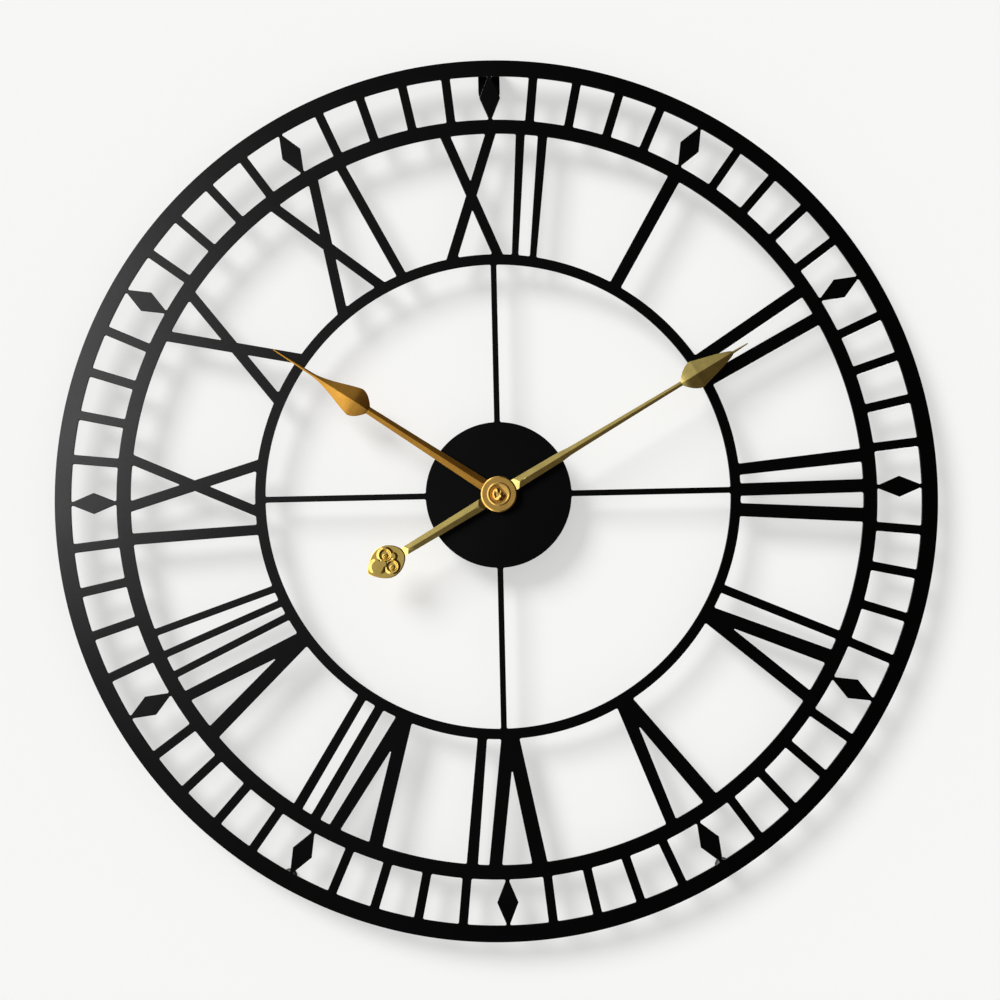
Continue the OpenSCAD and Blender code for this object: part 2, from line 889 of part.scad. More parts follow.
medallion_w = 22;
medallion_base_r = 75;
function medallion_half(t) =
    (medallion_w / 2 - 0.6) * pow(sin(180 * pow(t, 0.9)), along(0.62, 0.85, t)) + 0.6;

// Teardrop outline, drawn as it lies on the tail.
module medallion_outline() {
    steps = 20;
    middle = (medallion_base_r + minute_tail_r) / 2;
    half = (minute_tail_r - medallion_base_r) / 2;
    translate([0, -middle]) polygon([
        for (i = [0:2 * steps - 1])
            let (
                t = i < steps ? i / steps : (2 * steps - i) / steps,
                side = i < steps ? 1 : -1
            )
                [side * medallion_half(t), (2 * t - 1) * -half]
    ]);
}

// Leaf and two scrolls standing on the medallion's sunk face.
module medallion_relief() {
    middle = (medallion_base_r + minute_tail_r) / 2;
    translate([0, -middle]) {
        for (lobe = [[-0.3, -6.2, 3.9], [-1.2, 6.4, 3.1], [4.2, 5, 2.6]])
            translate([lobe[0], lobe[1]]) circle(r = lobe[2]);
        for (scroll = [[-4.9, 1.8, 4.2], [4.7, 1.4, 3.9]])
            translate([scroll[0], scroll[1]]) annulus(scroll[2], scroll[2] - 1.6);
    }
}

module minute_hand() {
    leaf_base = minute_leaf[0];
    belly_w = minute_leaf[5];
    color(BRASS) point_at(minute_angle) difference() {
        union() {
            bar(origin, minute_back, minute_back - minute_sheet_t, minute_hub_r);
            intersection() {
                ridge(minute_back, 4.5, 0.3, arm_ridge_t, -medallion_base_r - 2, leaf_base + 1);
                plate(minute_back, arm_ridge_t) {
                    taper(0, 50, 8, 6.6);
                    taper(50, leaf_base + 1, 6, minute_leaf[4]);
                    taper(-medallion_base_r - 2, 0, 6, 8);
                }
            }
            intersection() {
                ridge(minute_back, belly_w / 2 + 1, 0.4, minute_ridge_t, leaf_base, minute_tip_r);
                plate(minute_back, minute_ridge_t) leaf_outline(minute_leaf);
            }
            plate(minute_back, 0.9) medallion_outline();
            plate(minute_back, 2) medallion_relief();
        }
        bar(origin, 0, -2 * case_d - wall_gap, 3.5);
        bar(origin, minute_back - minute_sheet_t, -2 * case_d - wall_gap, 7.4);
    }
}

module minute_collet() {
    color(BRASS) difference() {
        union() {
            bar(origin, minute_back, minute_back - minute_sheet_t, 3.5);
            bar(origin, minute_back - minute_sheet_t, minute_flange_front, 7.3);
        }
        bar(origin, 0, -2 * case_d - wall_gap, hand_seat_r + seat_gap);
    }
}

module cap_nut() {
    dome_r = 8;
    color(BRASS) difference() {
        intersection() {
            bar(origin, minute_flange_front, minute_flange_front - cap_nut_t, cap_nut_r);
            translate([0, minute_flange_front - cap_nut_t + dome_r, 0]) sphere(r = dome_r);
        }
        bar(origin, 0, minute_flange_front - 2.1, arbor_thread_r + seat_gap);
    }
}

outer_ring();
middle_ring();
inner_ring();
minute_bars();
hour_diamonds();
spokes();
centre_disc();
numeral_1();
numeral_2();
numeral_3();
numeral_4();
numeral_5();
numeral_6();
numeral_7();
numeral_8();
numeral_9();
numeral_10();
numeral_11();
numeral_12();
hanger_bracket();
wall_bumpers();
front_case();
middle_plate();
back_cover();
threaded_bushing();
gasket();
washer();
hex_nut();
circuit_board();
chip();
crystal();
coil_bobbin();
coil_winding();
coil_core();
stator();
rotor();
intermediate_wheel();
fourth_wheel();
third_wheel();
centre_wheel();
minute_arbor();
minute_wheel();
hour_wheel();
setting_knob();
positive_contact();
negative_contact();
battery();
hour_hand();
hour_collet();
minute_hand();
minute_collet();
cap_nut();
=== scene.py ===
"""Looks of the wall clock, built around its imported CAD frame.

Lengths of pieces are written in millimetres and turned into metres by the mesh makers.
Plan coordinates are (x, z) as the reader sees the clock; depth is measured towards the reader, along -Y.
"""

import math
from collections import namedtuple

import bmesh
import bpy
from mathutils import Matrix, Vector, noise
from mathutils.geometry import tessellate_polygon


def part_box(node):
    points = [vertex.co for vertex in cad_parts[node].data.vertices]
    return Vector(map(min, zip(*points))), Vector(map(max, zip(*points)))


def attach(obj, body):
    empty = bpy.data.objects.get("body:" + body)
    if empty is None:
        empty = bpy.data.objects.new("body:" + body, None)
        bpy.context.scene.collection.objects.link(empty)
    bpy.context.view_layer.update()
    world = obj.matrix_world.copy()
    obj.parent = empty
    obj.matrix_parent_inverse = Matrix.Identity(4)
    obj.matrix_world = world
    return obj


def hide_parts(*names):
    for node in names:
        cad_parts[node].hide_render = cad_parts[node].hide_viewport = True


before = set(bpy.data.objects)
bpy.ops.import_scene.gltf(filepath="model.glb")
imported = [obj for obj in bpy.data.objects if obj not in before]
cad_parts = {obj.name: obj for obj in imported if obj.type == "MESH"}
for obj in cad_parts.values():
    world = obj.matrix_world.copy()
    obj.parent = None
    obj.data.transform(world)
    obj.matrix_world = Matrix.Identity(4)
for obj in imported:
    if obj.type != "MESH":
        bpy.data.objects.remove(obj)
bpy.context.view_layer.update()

MM = 0.001
TAU = 2 * math.pi


def low(node):
    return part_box(node)[0] / MM


def high(node):
    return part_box(node)[1] / MM


# ---------------------------------------------------------------- sizes from the frame

DIAL_BACK = high("outer_ring").y
DIAL_FRONT = low("outer_ring").y
DIAL_R = high("outer_ring").x
MIDDLE_R = high("middle_ring").x
INNER_R = high("inner_ring").x
DISC_R = high("centre_disc").x

RING_W = 11.0
MIDDLE_W = 9.5
INNER_W = 7.0
TRACK_TOP = DIAL_R - RING_W
NUMERAL_TOP = MIDDLE_R - MIDDLE_W
NUMERAL_FOOT = INNER_R
SPOKE_TOP = INNER_R - INNER_W
SPOKE_W = 4.0
BAR_W = 6.2
DIAMOND_W = 14.3
NECK_W = 1.6
BUSHING_HOLE_R = 4.1

EDGE_ROUND = 0.3
RING_FILLET = 1.1
CROTCH_FILLET = 0.4
TIP_ROUND = 0.4

HOUR_STEP = 30.0
MINUTE_STEP = 6.0

MINUTE_ANGLE = 60.0
HOUR_ANGLE = 304.0


# ---------------------------------------------------------------- small geometry

def polar(radius, degrees):
    """Plan point at an angle counted clockwise from 12."""
    a = math.radians(degrees)
    return Vector((radius * math.sin(a), radius * math.cos(a)))


def turned(point, degrees):
    """A plan point turned clockwise about the hands' axis."""
    a = math.radians(degrees)
    x, z = point
    return Vector((x * math.cos(a) + z * math.sin(a), z * math.cos(a) - x * math.sin(a)))


def cross2(a, b):
    return a.x * b.y - a.y * b.x


def left_of(direction):
    return Vector((-direction.y, direction.x))


def smoothstep(low_edge, high_edge, value):
    t = max(0.0, min(1.0, (value - low_edge) / (high_edge - low_edge)))
    return t * t * (3 - 2 * t)


def mix(a, b, t):
    return a + (b - a) * t


# ---------------------------------------------------------------- meshes

def add_object(name, vertices, faces, smooth=True, sharp_angle=None, flat_faces=()):
    """Makes an object from points in metres. flat_faces are the indices of faces that stay flat."""
    mesh = bpy.data.meshes.new(name)
    mesh.from_pydata(vertices, [], faces)
    mesh.validate()
    mesh.polygons.foreach_set("use_smooth", [smooth] * len(mesh.polygons))
    for index in flat_faces:
        mesh.polygons[index].use_smooth = False
    if sharp_angle is not None:
        mesh.set_sharp_from_angle(angle=math.radians(sharp_angle))
    obj = bpy.data.objects.new(name, mesh)
    bpy.context.scene.collection.objects.link(obj)
    return obj


def in_frame(x, z, y):
    return (x * MM, y * MM, z * MM)


def lathe(name, profile, at=(0.0, 0.0), segments=96, sharp_angle=28, bumps=None):
    """Turns (radius, y) points about an axis along Y. A radius of 0 closes an end.
    bumps(radius, angle, y) may move a point, and returns a new (radius, y)."""
    vertices, faces, rings = [], [], []
    for radius, y in profile:
        if radius == 0:
            vertices.append(in_frame(at[0], at[1], y))
            rings.append([len(vertices) - 1] * segments)
            continue
        ring = []
        for i in range(segments):
            a = TAU * i / segments
            r, depth = bumps(radius, a, y) if bumps else (radius, y)
            vertices.append(in_frame(at[0] + r * math.cos(a), at[1] + r * math.sin(a), depth))
            ring.append(len(vertices) - 1)
        rings.append(ring)
    for ring, following in zip(rings, rings[1:]):
        for i in range(segments):
            j = (i + 1) % segments
            face = [ring[i], ring[j], following[j], following[i]]
            unique = [v for k, v in enumerate(face) if v not in face[:k]]
            if len(unique) > 2:
                faces.append(unique)
    obj = add_object(name, vertices, faces, sharp_angle=sharp_angle)
    turn_faces_outward(obj)
    return obj


def turn_faces_outward(obj):
    mesh = bmesh.new()
    mesh.from_mesh(obj.data)
    bmesh.ops.recalc_face_normals(mesh, faces=mesh.faces)
    mesh.to_mesh(obj.data)
    mesh.free()


def round_edges(obj, width_mm, segments, angle):
    bevel = obj.modifiers.new("edges", "BEVEL")
    bevel.width = width_mm * MM
    bevel.segments = segments
    bevel.limit_method = "ANGLE"
    bevel.angle_limit = math.radians(angle)


def join_meshes(name, objects):
    """One object from several, with their places kept."""
    vertices, faces, smooth = [], [], []
    for obj in objects:
        start = len(vertices)
        vertices += [obj.matrix_world @ v.co for v in obj.data.vertices]
        faces += [[start + i for i in p.vertices] for p in obj.data.polygons]
        smooth += [p.use_smooth for p in obj.data.polygons]
        bpy.data.objects.remove(obj)
    joined = add_object(name, vertices, faces)
    joined.data.polygons.foreach_set("use_smooth", smooth)
    joined.data.set_sharp_from_angle(angle=math.radians(28))
    return joined


# ---------------------------------------------------------------- dial: windows cut in one plate

# A window's boundary runs anticlockwise as Edge pieces: a straight line from one point to another,
# or a stretch of a circle about the hands' axis. turn is 1 for an anticlockwise stretch, -1 for clockwise.
Edge = namedtuple("Edge", "start end radius turn")


def line(start, end):
    return Edge(Vector(start), Vector(end), None, 0)


def arc(radius, turn):
    return Edge(None, None, radius, turn)


def lines(points):
    return [line(a, b) for a, b in zip(points, points[1:])]


def circle_crossing(point, direction, radius, towards):
    """Where a line crosses a circle about the origin, on the side of the window."""
    along = point.dot(direction)
    reach = math.sqrt(max(0.0, along * along - point.dot(point) + radius * radius))
    found = [point + direction * (-along + side * reach) for side in (-1, 1)]
    return max(found, key=lambda p: p.dot(towards))


def corner(before, after, towards):
    """The rounded corner between two edges, as a list of points."""
    if before.radius is None and after.radius is None:
        d1 = (before.end - before.start).normalized()
        d2 = (after.end - after.start).normalized()
        left_turn = cross2(d1, d2) > 0
        fillet = CROTCH_FILLET if left_turn else -TIP_ROUND
        p1 = before.start + left_of(d1) * fillet
        p2 = after.start + left_of(d2) * fillet
        centre = p1 + d1 * (cross2(p2 - p1, d2) / cross2(d1, d2))
        first, last = centre - left_of(d1) * fillet, centre - left_of(d2) * fillet
    else:
        straight, circle = (before, after) if before.radius is None else (after, before)
        fillet = RING_FILLET
        d = (straight.end - straight.start).normalized()
        centre = circle_crossing(
            straight.start + left_of(d) * fillet, d, circle.radius - circle.turn * fillet, towards)
        on_line = centre - left_of(d) * fillet
        on_circle = centre.normalized() * circle.radius
        first, last = (on_line, on_circle) if before.radius is None else (on_circle, on_line)
    return round_between(first, last, centre, 1 if fillet > 0 else -1)


def round_between(first, last, centre, turn, step=15.0):
    a0 = math.atan2(*(first - centre).yx)
    a1 = math.atan2(*(last - centre).yx)
    sweep = (a1 - a0) * turn % TAU
    count = max(1, math.ceil(math.degrees(sweep) / step))
    radius = (first - centre).length
    angles = [a0 + turn * sweep * i / count for i in range(count + 1)]
    return [centre + radius * Vector((math.cos(a), math.sin(a))) for a in angles]


def window(edges, towards):
    """Closed outline of a window, with its corners rounded."""
    count = len(edges)
    corners = [corner(edges[i - 1], edges[i], towards) for i in range(count)]
    outline = []
    for i, edge in enumerate(edges):
        outline += corners[i]
        if edge.radius is not None:
            following = corners[(i + 1) % count][0]
            outline += round_between(corners[i][-1], following, Vector((0, 0)), edge.turn, 1.0)[1:-1]
    return outline


# One stroke, V or X of a numeral as it lies at 12: its two sides from top to foot, and its own windows.
Strut = namedtuple("Strut", "left right windows")


def at_height(t):
    return mix(NUMERAL_FOOT, NUMERAL_TOP, t)


def stroke(top_x, foot_x, top_w, foot_w):
    """A straight stroke, by its middle and its width at the top and at the foot."""
    left = [(top_x - top_w / 2, NUMERAL_TOP), (foot_x - foot_w / 2, NUMERAL_FOOT)]
    right = [(top_x + top_w / 2, NUMERAL_TOP), (foot_x + foot_w / 2, NUMERAL_FOOT)]
    return Strut(left, right, [])


def vee(left_x, left_w, right_x, right_w, apex_x, apex_w, notch=0.235):
    """Two strokes that meet at the foot. notch is how far up their inner sides meet, as a share of the height."""
    outer_left = left_x - left_w / 2
    outer_right = right_x + right_w / 2
    strut = stroke((outer_left + outer_right) / 2, apex_x, outer_right - outer_left, apex_w)
    middle = mix(apex_x, (outer_left + outer_right) / 2, notch)
    apex = (middle + (left_w - right_w) / 8, at_height(notch))
    inner_left = [(left_x + left_w / 2, NUMERAL_TOP), apex]
    inner_right = [apex, (right_x - right_w / 2, NUMERAL_TOP)]
    return Strut(strut.left, strut.right, [[arc(NUMERAL_TOP, 1), *inner_left, *inner_right]])


def meeting(top_a, foot_a, top_b, foot_b):
    """Where two strut edges cross, given by their x at the top and the foot."""
    t = (foot_b - foot_a) / ((top_a - foot_a) - (top_b - foot_b))
    return (mix(foot_a, top_a, t), at_height(t))


def cross(a_top, a_foot, b_top, b_foot, w):
    """Two crossing strokes: A runs down to the right, B down to the left."""
    h = w / 2
    left = meeting(a_top - h, a_foot - h, b_top - h, b_foot - h)
    right = meeting(b_top + h, b_foot + h, a_top + h, a_foot + h)
    upper = meeting(a_top + h, a_foot + h, b_top - h, b_foot - h)
    lower = meeting(b_top + h, b_foot + h, a_top - h, a_foot - h)
    top_window = [arc(NUMERAL_TOP, 1), (a_top + h, NUMERAL_TOP), upper, upper, (b_top - h, NUMERAL_TOP)]
    foot_window = [arc(NUMERAL_FOOT, -1), (a_foot - h, NUMERAL_FOOT), lower, lower, (b_foot + h, NUMERAL_FOOT)]
    return Strut(
        [(a_top - h, NUMERAL_TOP), left, (b_foot - h, NUMERAL_FOOT)],
        [(b_top + h, NUMERAL_TOP), right, (a_foot + h, NUMERAL_FOOT)],
        [top_window, foot_window],
    )


NUMERALS = {
    1: [stroke(1, 1, 9, 8.3)],
    2: [stroke(-12.5, -8, 9, 8.2), stroke(9.7, 7.3, 9, 8.6)],
    3: [stroke(-22, -14, 9.2, 7.8), stroke(-1, 0, 9, 8.6), stroke(19, 13.7, 9.6, 9)],
    4: [stroke(-27.5, -17.3, 6.2, 6), vee(-11.5, 10.1, 19.2, 8.4, 2.8, 12, 0.2)],
    5: [vee(-15.5, 10.6, 15.2, 7.6, 0.2, 12.5, 0.2)],
    6: [vee(-22.3, 10.5, 7.6, 8.8, -4.2, 12.5), stroke(23.4, 14.8, 7.8, 6.5)],
    7: [vee(-41.5, 10, -11, 8, -17.2, 12), stroke(3.5, 1.3, 7, 6.5), stroke(17.4, 15.1, 6.8, 6.3)],
    8: [
        vee(-37.9, 10, -7.3, 7.5, -15, 11.3),
        stroke(9.3, 3.5, 5, 5), stroke(24.6, 13.8, 5, 5), stroke(41, 24.6, 5, 5),
    ],
    9: [stroke(-24.8, -20.3, 7.8, 7), cross(-2.6, 23, 29.8, -7.3, 7.3)],
    10: [cross(-13.5, 15.6, 18.6, -14.8, 7.4)],
    11: [cross(-29.5, 5.2, 2.8, -25.4, 7.3), stroke(24.3, 21.4, 6.6, 6.6)],
    12: [cross(-32, 3, 0, -27.5, 7.3), stroke(20.5, 15, 6.3, 4.6), stroke(36, 27.5, 6.8, 4.7)],
}


def turned_side(points, degrees):
    return [turned(p, degrees) for p in points]


def own_window(parts, hour_angle):
    """A V's or X's own window: an arc, then the ends of its straight edges in pairs."""
    ring, *ends = parts
    ends = turned_side(ends, hour_angle)
    straight = [line(ends[i], ends[i + 1]) for i in range(0, len(ends), 2)]
    return window([ring, *straight], polar(1, hour_angle))


def numeral_windows():
    struts = []
    outlines = []
    for hour in range(1, 13):
        angle = hour * HOUR_STEP
        for strut in NUMERALS[hour]:
            left, right = turned_side(strut.left, angle), turned_side(strut.right, angle)
            struts.append((left, right))
            outlines += [own_window(parts, angle) for parts in strut.windows]
    for (_, right_side), (left_side, _) in zip(struts, struts[1:] + struts[:1]):
        middle = (right_side[0] + left_side[0]).normalized()
        edges = [arc(NUMERAL_TOP, 1), *lines(right_side), arc(NUMERAL_FOOT, -1), *lines(left_side[::-1])]
        outlines.append(window(edges, middle))
    return outlines


def track_strut(minute):
    """Sides of a minute bar or an hour diamond, from top to foot, as they lie at 12."""
    if minute % 5:
        left = [(-BAR_W / 2, TRACK_TOP), (-BAR_W / 2, MIDDLE_R)]
    else:
        waist = (TRACK_TOP + MIDDLE_R) / 2
        left = [(-NECK_W / 2, TRACK_TOP), (-DIAMOND_W / 2, waist), (-NECK_W / 2, MIDDLE_R)]
    right = [(-x, z) for x, z in left]
    angle = minute * MINUTE_STEP
    return turned_side(left, angle), turned_side(right, angle)


def track_windows():
    outlines = []
    for minute in range(60):
        _, right_side = track_strut(minute)
        left_side, _ = track_strut(minute + 1)
        middle = (minute + 0.5) * MINUTE_STEP
        edges = [arc(TRACK_TOP, 1), *lines(right_side), arc(MIDDLE_R, -1), *lines(left_side[::-1])]
        outlines.append(window(edges, polar(1, middle)))
    return outlines


def quadrant_windows():
    half = SPOKE_W / 2
    outlines = []
    for quarter in range(4):
        angle = quarter * 90
        up = turned_side([(half, SPOKE_TOP), (half, DISC_R)], angle)
        across = turned_side([(DISC_R, half), (SPOKE_TOP, half)], angle)
        edges = [arc(SPOKE_TOP, 1), *lines(up), arc(DISC_R, -1), *lines(across)]
        outlines.append(window(edges, polar(1, angle + 45)))
    return outlines


def circle_points(radius, count):
    angles = [TAU * i / count for i in range(count)]
    return [Vector((radius * math.cos(a), radius * math.sin(a))) for a in angles]


def inset(outline, distance):
    """Moves a closed anticlockwise outline to its left by a distance."""
    moved = []
    count = len(outline)
    for i, point in enumerate(outline):
        d1 = (point - outline[i - 1]).normalized()
        d2 = (outline[(i + 1) % count] - point).normalized()
        n = (left_of(d1) + left_of(d2)).normalized()
        moved.append(point + n * (distance / max(0.3, n.dot(left_of(d1)))))
    return moved


def dial_plate():
    """The whole dial: one sheet with rounded edges, cut through by its windows."""
    outer = circle_points(DIAL_R, 480)
    holes = numeral_windows() + track_windows() + quadrant_windows()
    holes.append(circle_points(BUSHING_HOLE_R, 32))
    # each outline goes round its material, so a positive inset always moves into the metal
    outlines = [outer] + [[p.copy() for p in hole[::-1]] for hole in holes]
    steps = 3
    section = []
    for i in range(steps + 1):
        a = math.pi / 2 * i / steps
        section.append((EDGE_ROUND * (1 - math.sin(a)), DIAL_FRONT + EDGE_ROUND * (1 - math.cos(a))))
    section += [(d, DIAL_BACK - (y - DIAL_FRONT)) for d, y in section[::-1]]
    vertices, faces = [], []
    rims = []
    for outline in outlines:
        count = len(outline)
        rings = []
        for distance, y in section:
            rings.append(range(len(vertices), len(vertices) + count))
            vertices += [in_frame(p.x, p.y, y) for p in inset(outline, distance)]
        for ring, following in zip(rings, rings[1:]):
            for i in range(count):
                j = (i + 1) % count
                faces.append((ring[i], ring[j], following[j], following[i]))
        rims.append((rings[0], rings[-1]))
    flat = []
    for side in (0, 1):
        index = [i for rim in rims for i in rim[side]]
        loops = [[Vector((vertices[i][0], vertices[i][2], 0)) for i in rim[side]] for rim in rims]
        for triangle in tessellate_polygon(loops):
            corners = [index[i] for i in triangle]
            a, b, c = (Vector(vertices[i]) for i in corners)
            facing = (b - a).cross(c - a).y
            wanted = -1 if side == 0 else 1
            flat.append(len(faces))
            faces.append(corners if facing * wanted > 0 else corners[::-1])
    obj = add_object("dial_plate", vertices, faces, flat_faces=flat)
    turn_faces_outward(obj)
    return obj


# ---------------------------------------------------------------- materials

def material(name, base, roughness, metallic=0.0, **sockets):
    """A new Principled material and its node tree. sockets are other Principled inputs by name."""
    made = bpy.data.materials.new(name)
    made.use_nodes = True
    shader = made.node_tree.nodes["Principled BSDF"]
    shader.inputs["Base Color"].default_value = (*base, 1)
    shader.inputs["Metallic"].default_value = metallic
    shader.inputs["Roughness"].default_value = roughness
    for key, value in sockets.items():
        shader.inputs[key.replace("_", " ")].default_value = value
    return made


def node(made, kind, **settings):
    new = made.node_tree.nodes.new(kind)
    for key, value in settings.items():
        if key in new.inputs:
            new.inputs[key].default_value = value
        else:
            setattr(new, key, value)
    return new


def link(made, source, target):
    made.node_tree.links.new(source, target)


def shader_of(made):
    return made.node_tree.nodes["Principled BSDF"]


def object_coordinates(made, scale=(1, 1, 1)):
    coordinates = node(made, "ShaderNodeTexCoord")
    mapping = node(made, "ShaderNodeMapping")
    mapping.inputs["Scale"].default_value = scale
    link(made, coordinates.outputs["Object"], mapping.inputs["Vector"])
    return mapping.outputs["Vector"]


def noise_texture(made, vector, size_mm, detail, roughness=0.55):
    """Noise whose features are about size_mm across."""
    texture = node(made, "ShaderNodeTexNoise", Scale=1 / (size_mm * MM), Detail=detail, Roughness=roughness)
    link(made, vector, texture.inputs["Vector"])
    return texture.outputs["Fac"]


def ramp(made, factor, low_value, high_value, start=0.3, end=0.7):
    """A number that follows a noise between two values."""
    mapped = node(made, "ShaderNodeMapRange")
    mapped.inputs["From Min"].default_value = start
    mapped.inputs["From Max"].default_value = end
    mapped.inputs["To Min"].default_value = low_value
    mapped.inputs["To Max"].default_value = high_value
    link(made, factor, mapped.inputs["Value"])
    return mapped.outputs["Result"]


def colour_ramp(made, factor, stops):
    mapped = node(made, "ShaderNodeValToRGB")
    elements = mapped.color_ramp.elements
    while len(elements) < len(stops):
        elements.new(0.5)
    for element, (position, colour) in zip(elements, stops):
        element.position = position
        element.color = (*colour, 1)
    link(made, factor, mapped.inputs["Fac"])
    return mapped.outputs["Color"]


def bump(made, height, depth_mm, strength, below=None):
    bumped = node(made, "ShaderNodeBump", Strength=strength, Distance=depth_mm * MM)
    link(made, height, bumped.inputs["Height"])
    if below is not None:
        link(made, below, bumped.inputs["Normal"])
    return bumped.outputs["Normal"]


def worn_edges(made, colour, worn, amount):
    """Mixes a lighter colour in where the surface is sharply convex."""
    geometry = node(made, "ShaderNodeNewGeometry")
    edge = ramp(made, geometry.outputs["Pointiness"], 0.0, amount, 0.52, 0.6)
    blend = node(made, "ShaderNodeMix", data_type="RGBA")
    link(made, edge, blend.inputs[0])
    link(made, colour, blend.inputs[6])
    blend.inputs[7].default_value = (*worn, 1)
    return blend.outputs[2]


def powder_coat():
    """Satin black powder coat: faint orange peel over a very fine grain."""
    made = material("powder_coat_black", (0.0005, 0.0005, 0.0005), roughness=0.3)
    shader = shader_of(made)
    shader.inputs["Specular IOR Level"].default_value = 0.03
    vector = object_coordinates(made)
    peel = noise_texture(made, vector, 3.0, 2.0)
    grain = noise_texture(made, vector, 0.35, 2.0)
    cloud = noise_texture(made, vector, 60.0, 2.0)
    link(made, ramp(made, cloud, 0.31, 0.35), shader.inputs["Roughness"])
    shade = colour_ramp(made, grain, [(0.3, (0.0003, 0.0003, 0.0003)), (0.7, (0.0008, 0.0008, 0.0008))])
    link(made, shade, shader.inputs["Base Color"])
    fine = bump(made, grain, 0.02, 0.25)
    link(made, bump(made, peel, 0.05, 0.18, fine), shader.inputs["Normal"])
    return made


def gold(name, base, roughness, along=(1, 1, 1)):
    """Polished gilt metal, with faint lines along the hand and a little tarnish."""
    made = material(name, base, metallic=1.0, roughness=roughness)
    shader = shader_of(made)
    brushed = object_coordinates(made, along)
    plain = object_coordinates(made)
    lines_fac = noise_texture(made, brushed, 0.22, 3.0)
    cloud = noise_texture(made, plain, 7.0, 3.0)
    deep = tuple(0.8 * c for c in base)
    tint = colour_ramp(made, cloud, [(0.25, deep), (0.7, base)])
    link(made, tint, shader.inputs["Base Color"])
    link(made, ramp(made, lines_fac, roughness - 0.05, roughness + 0.07), shader.inputs["Roughness"])
    link(made, bump(made, lines_fac, 0.006, 0.25), shader.inputs["Normal"])
    return made


def turned_brass():
    made = material("turned_brass", (0.78, 0.56, 0.24), metallic=1.0, roughness=0.28)
    shader = shader_of(made)
    vector = object_coordinates(made)
    cloud = noise_texture(made, vector, 2.5, 3.0)
    tint = colour_ramp(made, cloud, [(0.3, (0.60, 0.42, 0.17)), (0.7, (0.80, 0.60, 0.28))])
    link(made, tint, shader.inputs["Base Color"])
    fine = noise_texture(made, vector, 0.2, 2.0)
    link(made, ramp(made, fine, 0.22, 0.36), shader.inputs["Roughness"])
    link(made, bump(made, fine, 0.01, 0.3), shader.inputs["Normal"])
    return made


def steel(name, base, roughness):
    made = material(name, base, metallic=1.0, roughness=roughness)
    shader = shader_of(made)
    vector = object_coordinates(made, (1, 4, 1))
    fine = noise_texture(made, vector, 0.25, 3.0)
    cloud = noise_texture(made, vector, 3.0, 2.0)
    tint = colour_ramp(made, cloud, [(0.3, tuple(0.75 * c for c in base)), (0.7, base)])
    link(made, tint, shader.inputs["Base Color"])
    link(made, ramp(made, fine, roughness - 0.06, roughness + 0.1), shader.inputs["Roughness"])
    link(made, bump(made, fine, 0.01, 0.25), shader.inputs["Normal"])
    return made


def moulded(name, base, roughness, grain_mm=0.5, depth_mm=0.03, strength=0.5):
    """Moulded plastic or rubber: a fine spark-eroded texture, slightly mottled, paler on worn edges."""
    made = material(name, base, roughness=roughness)
    shader = shader_of(made)
    vector = object_coordinates(made)
    grain = noise_texture(made, vector, grain_mm, 4.0, 0.65)
    cloud = noise_texture(made, vector, 9.0, 2.0)
    dark = tuple(0.82 * c for c in base)
    light = tuple(min(1, 1.1 * c) for c in base)
    worn = tuple(min(1, 1.8 * c + 0.03) for c in base)
    tint = colour_ramp(made, cloud, [(0.3, dark), (0.7, light)])
    link(made, worn_edges(made, tint, worn, 0.35), shader.inputs["Base Color"])
    link(made, ramp(made, grain, roughness - 0.06, roughness + 0.08), shader.inputs["Roughness"])
    link(made, bump(made, grain, depth_mm, strength), shader.inputs["Normal"])
    return made


def enamelled_wire():
    """Copper wire wound round the X axis."""
    made = material("enamelled_wire", (0.45, 0.16, 0.05), metallic=0.9, roughness=0.32)
    shader = shader_of(made)
    vector = object_coordinates(made)
    turns = node(made, "ShaderNodeTexWave", wave_type="BANDS", bands_direction="X", Scale=1400.0, Distortion=0.3)
    link(made, vector, turns.inputs["Vector"])
    tint = colour_ramp(made, turns.outputs["Fac"], [(0.2, (0.22, 0.07, 0.02)), (0.7, (0.58, 0.22, 0.07))])
    link(made, tint, shader.inputs["Base Color"])
    link(made, bump(made, turns.outputs["Fac"], 0.06, 0.8), shader.inputs["Normal"])
    return made


def solder_mask():
    made = material("solder_mask", (0.02, 0.12, 0.05), roughness=0.35, Coat_Weight=0.3)
    shader = shader_of(made)
    vector = object_coordinates(made)
    tracks = node(made, "ShaderNodeTexBrick", Scale=260.0)
    tracks.inputs["Mortar Size"].default_value = 0.06
    tracks.inputs["Color1"].default_value = (0.015, 0.11, 0.045, 1)
    tracks.inputs["Color2"].default_value = (0.02, 0.14, 0.06, 1)
    tracks.inputs["Mortar"].default_value = (0.05, 0.24, 0.10, 1)
    turned_vector = node(made, "ShaderNodeMapping")
    turned_vector.inputs["Rotation"].default_value = (math.pi / 2, 0, 0)
    link(made, vector, turned_vector.inputs["Vector"])
    link(made, turned_vector.outputs["Vector"], tracks.inputs["Vector"])
    link(made, tracks.outputs["Color"], shader.inputs["Base Color"])
    link(made, bump(made, tracks.outputs["Fac"], 0.03, 0.5), shader.inputs["Normal"])
    return made


# Ends of the battery's jacket along X, in metres.
JACKET_ENDS = (-0.0246, 0.0249)


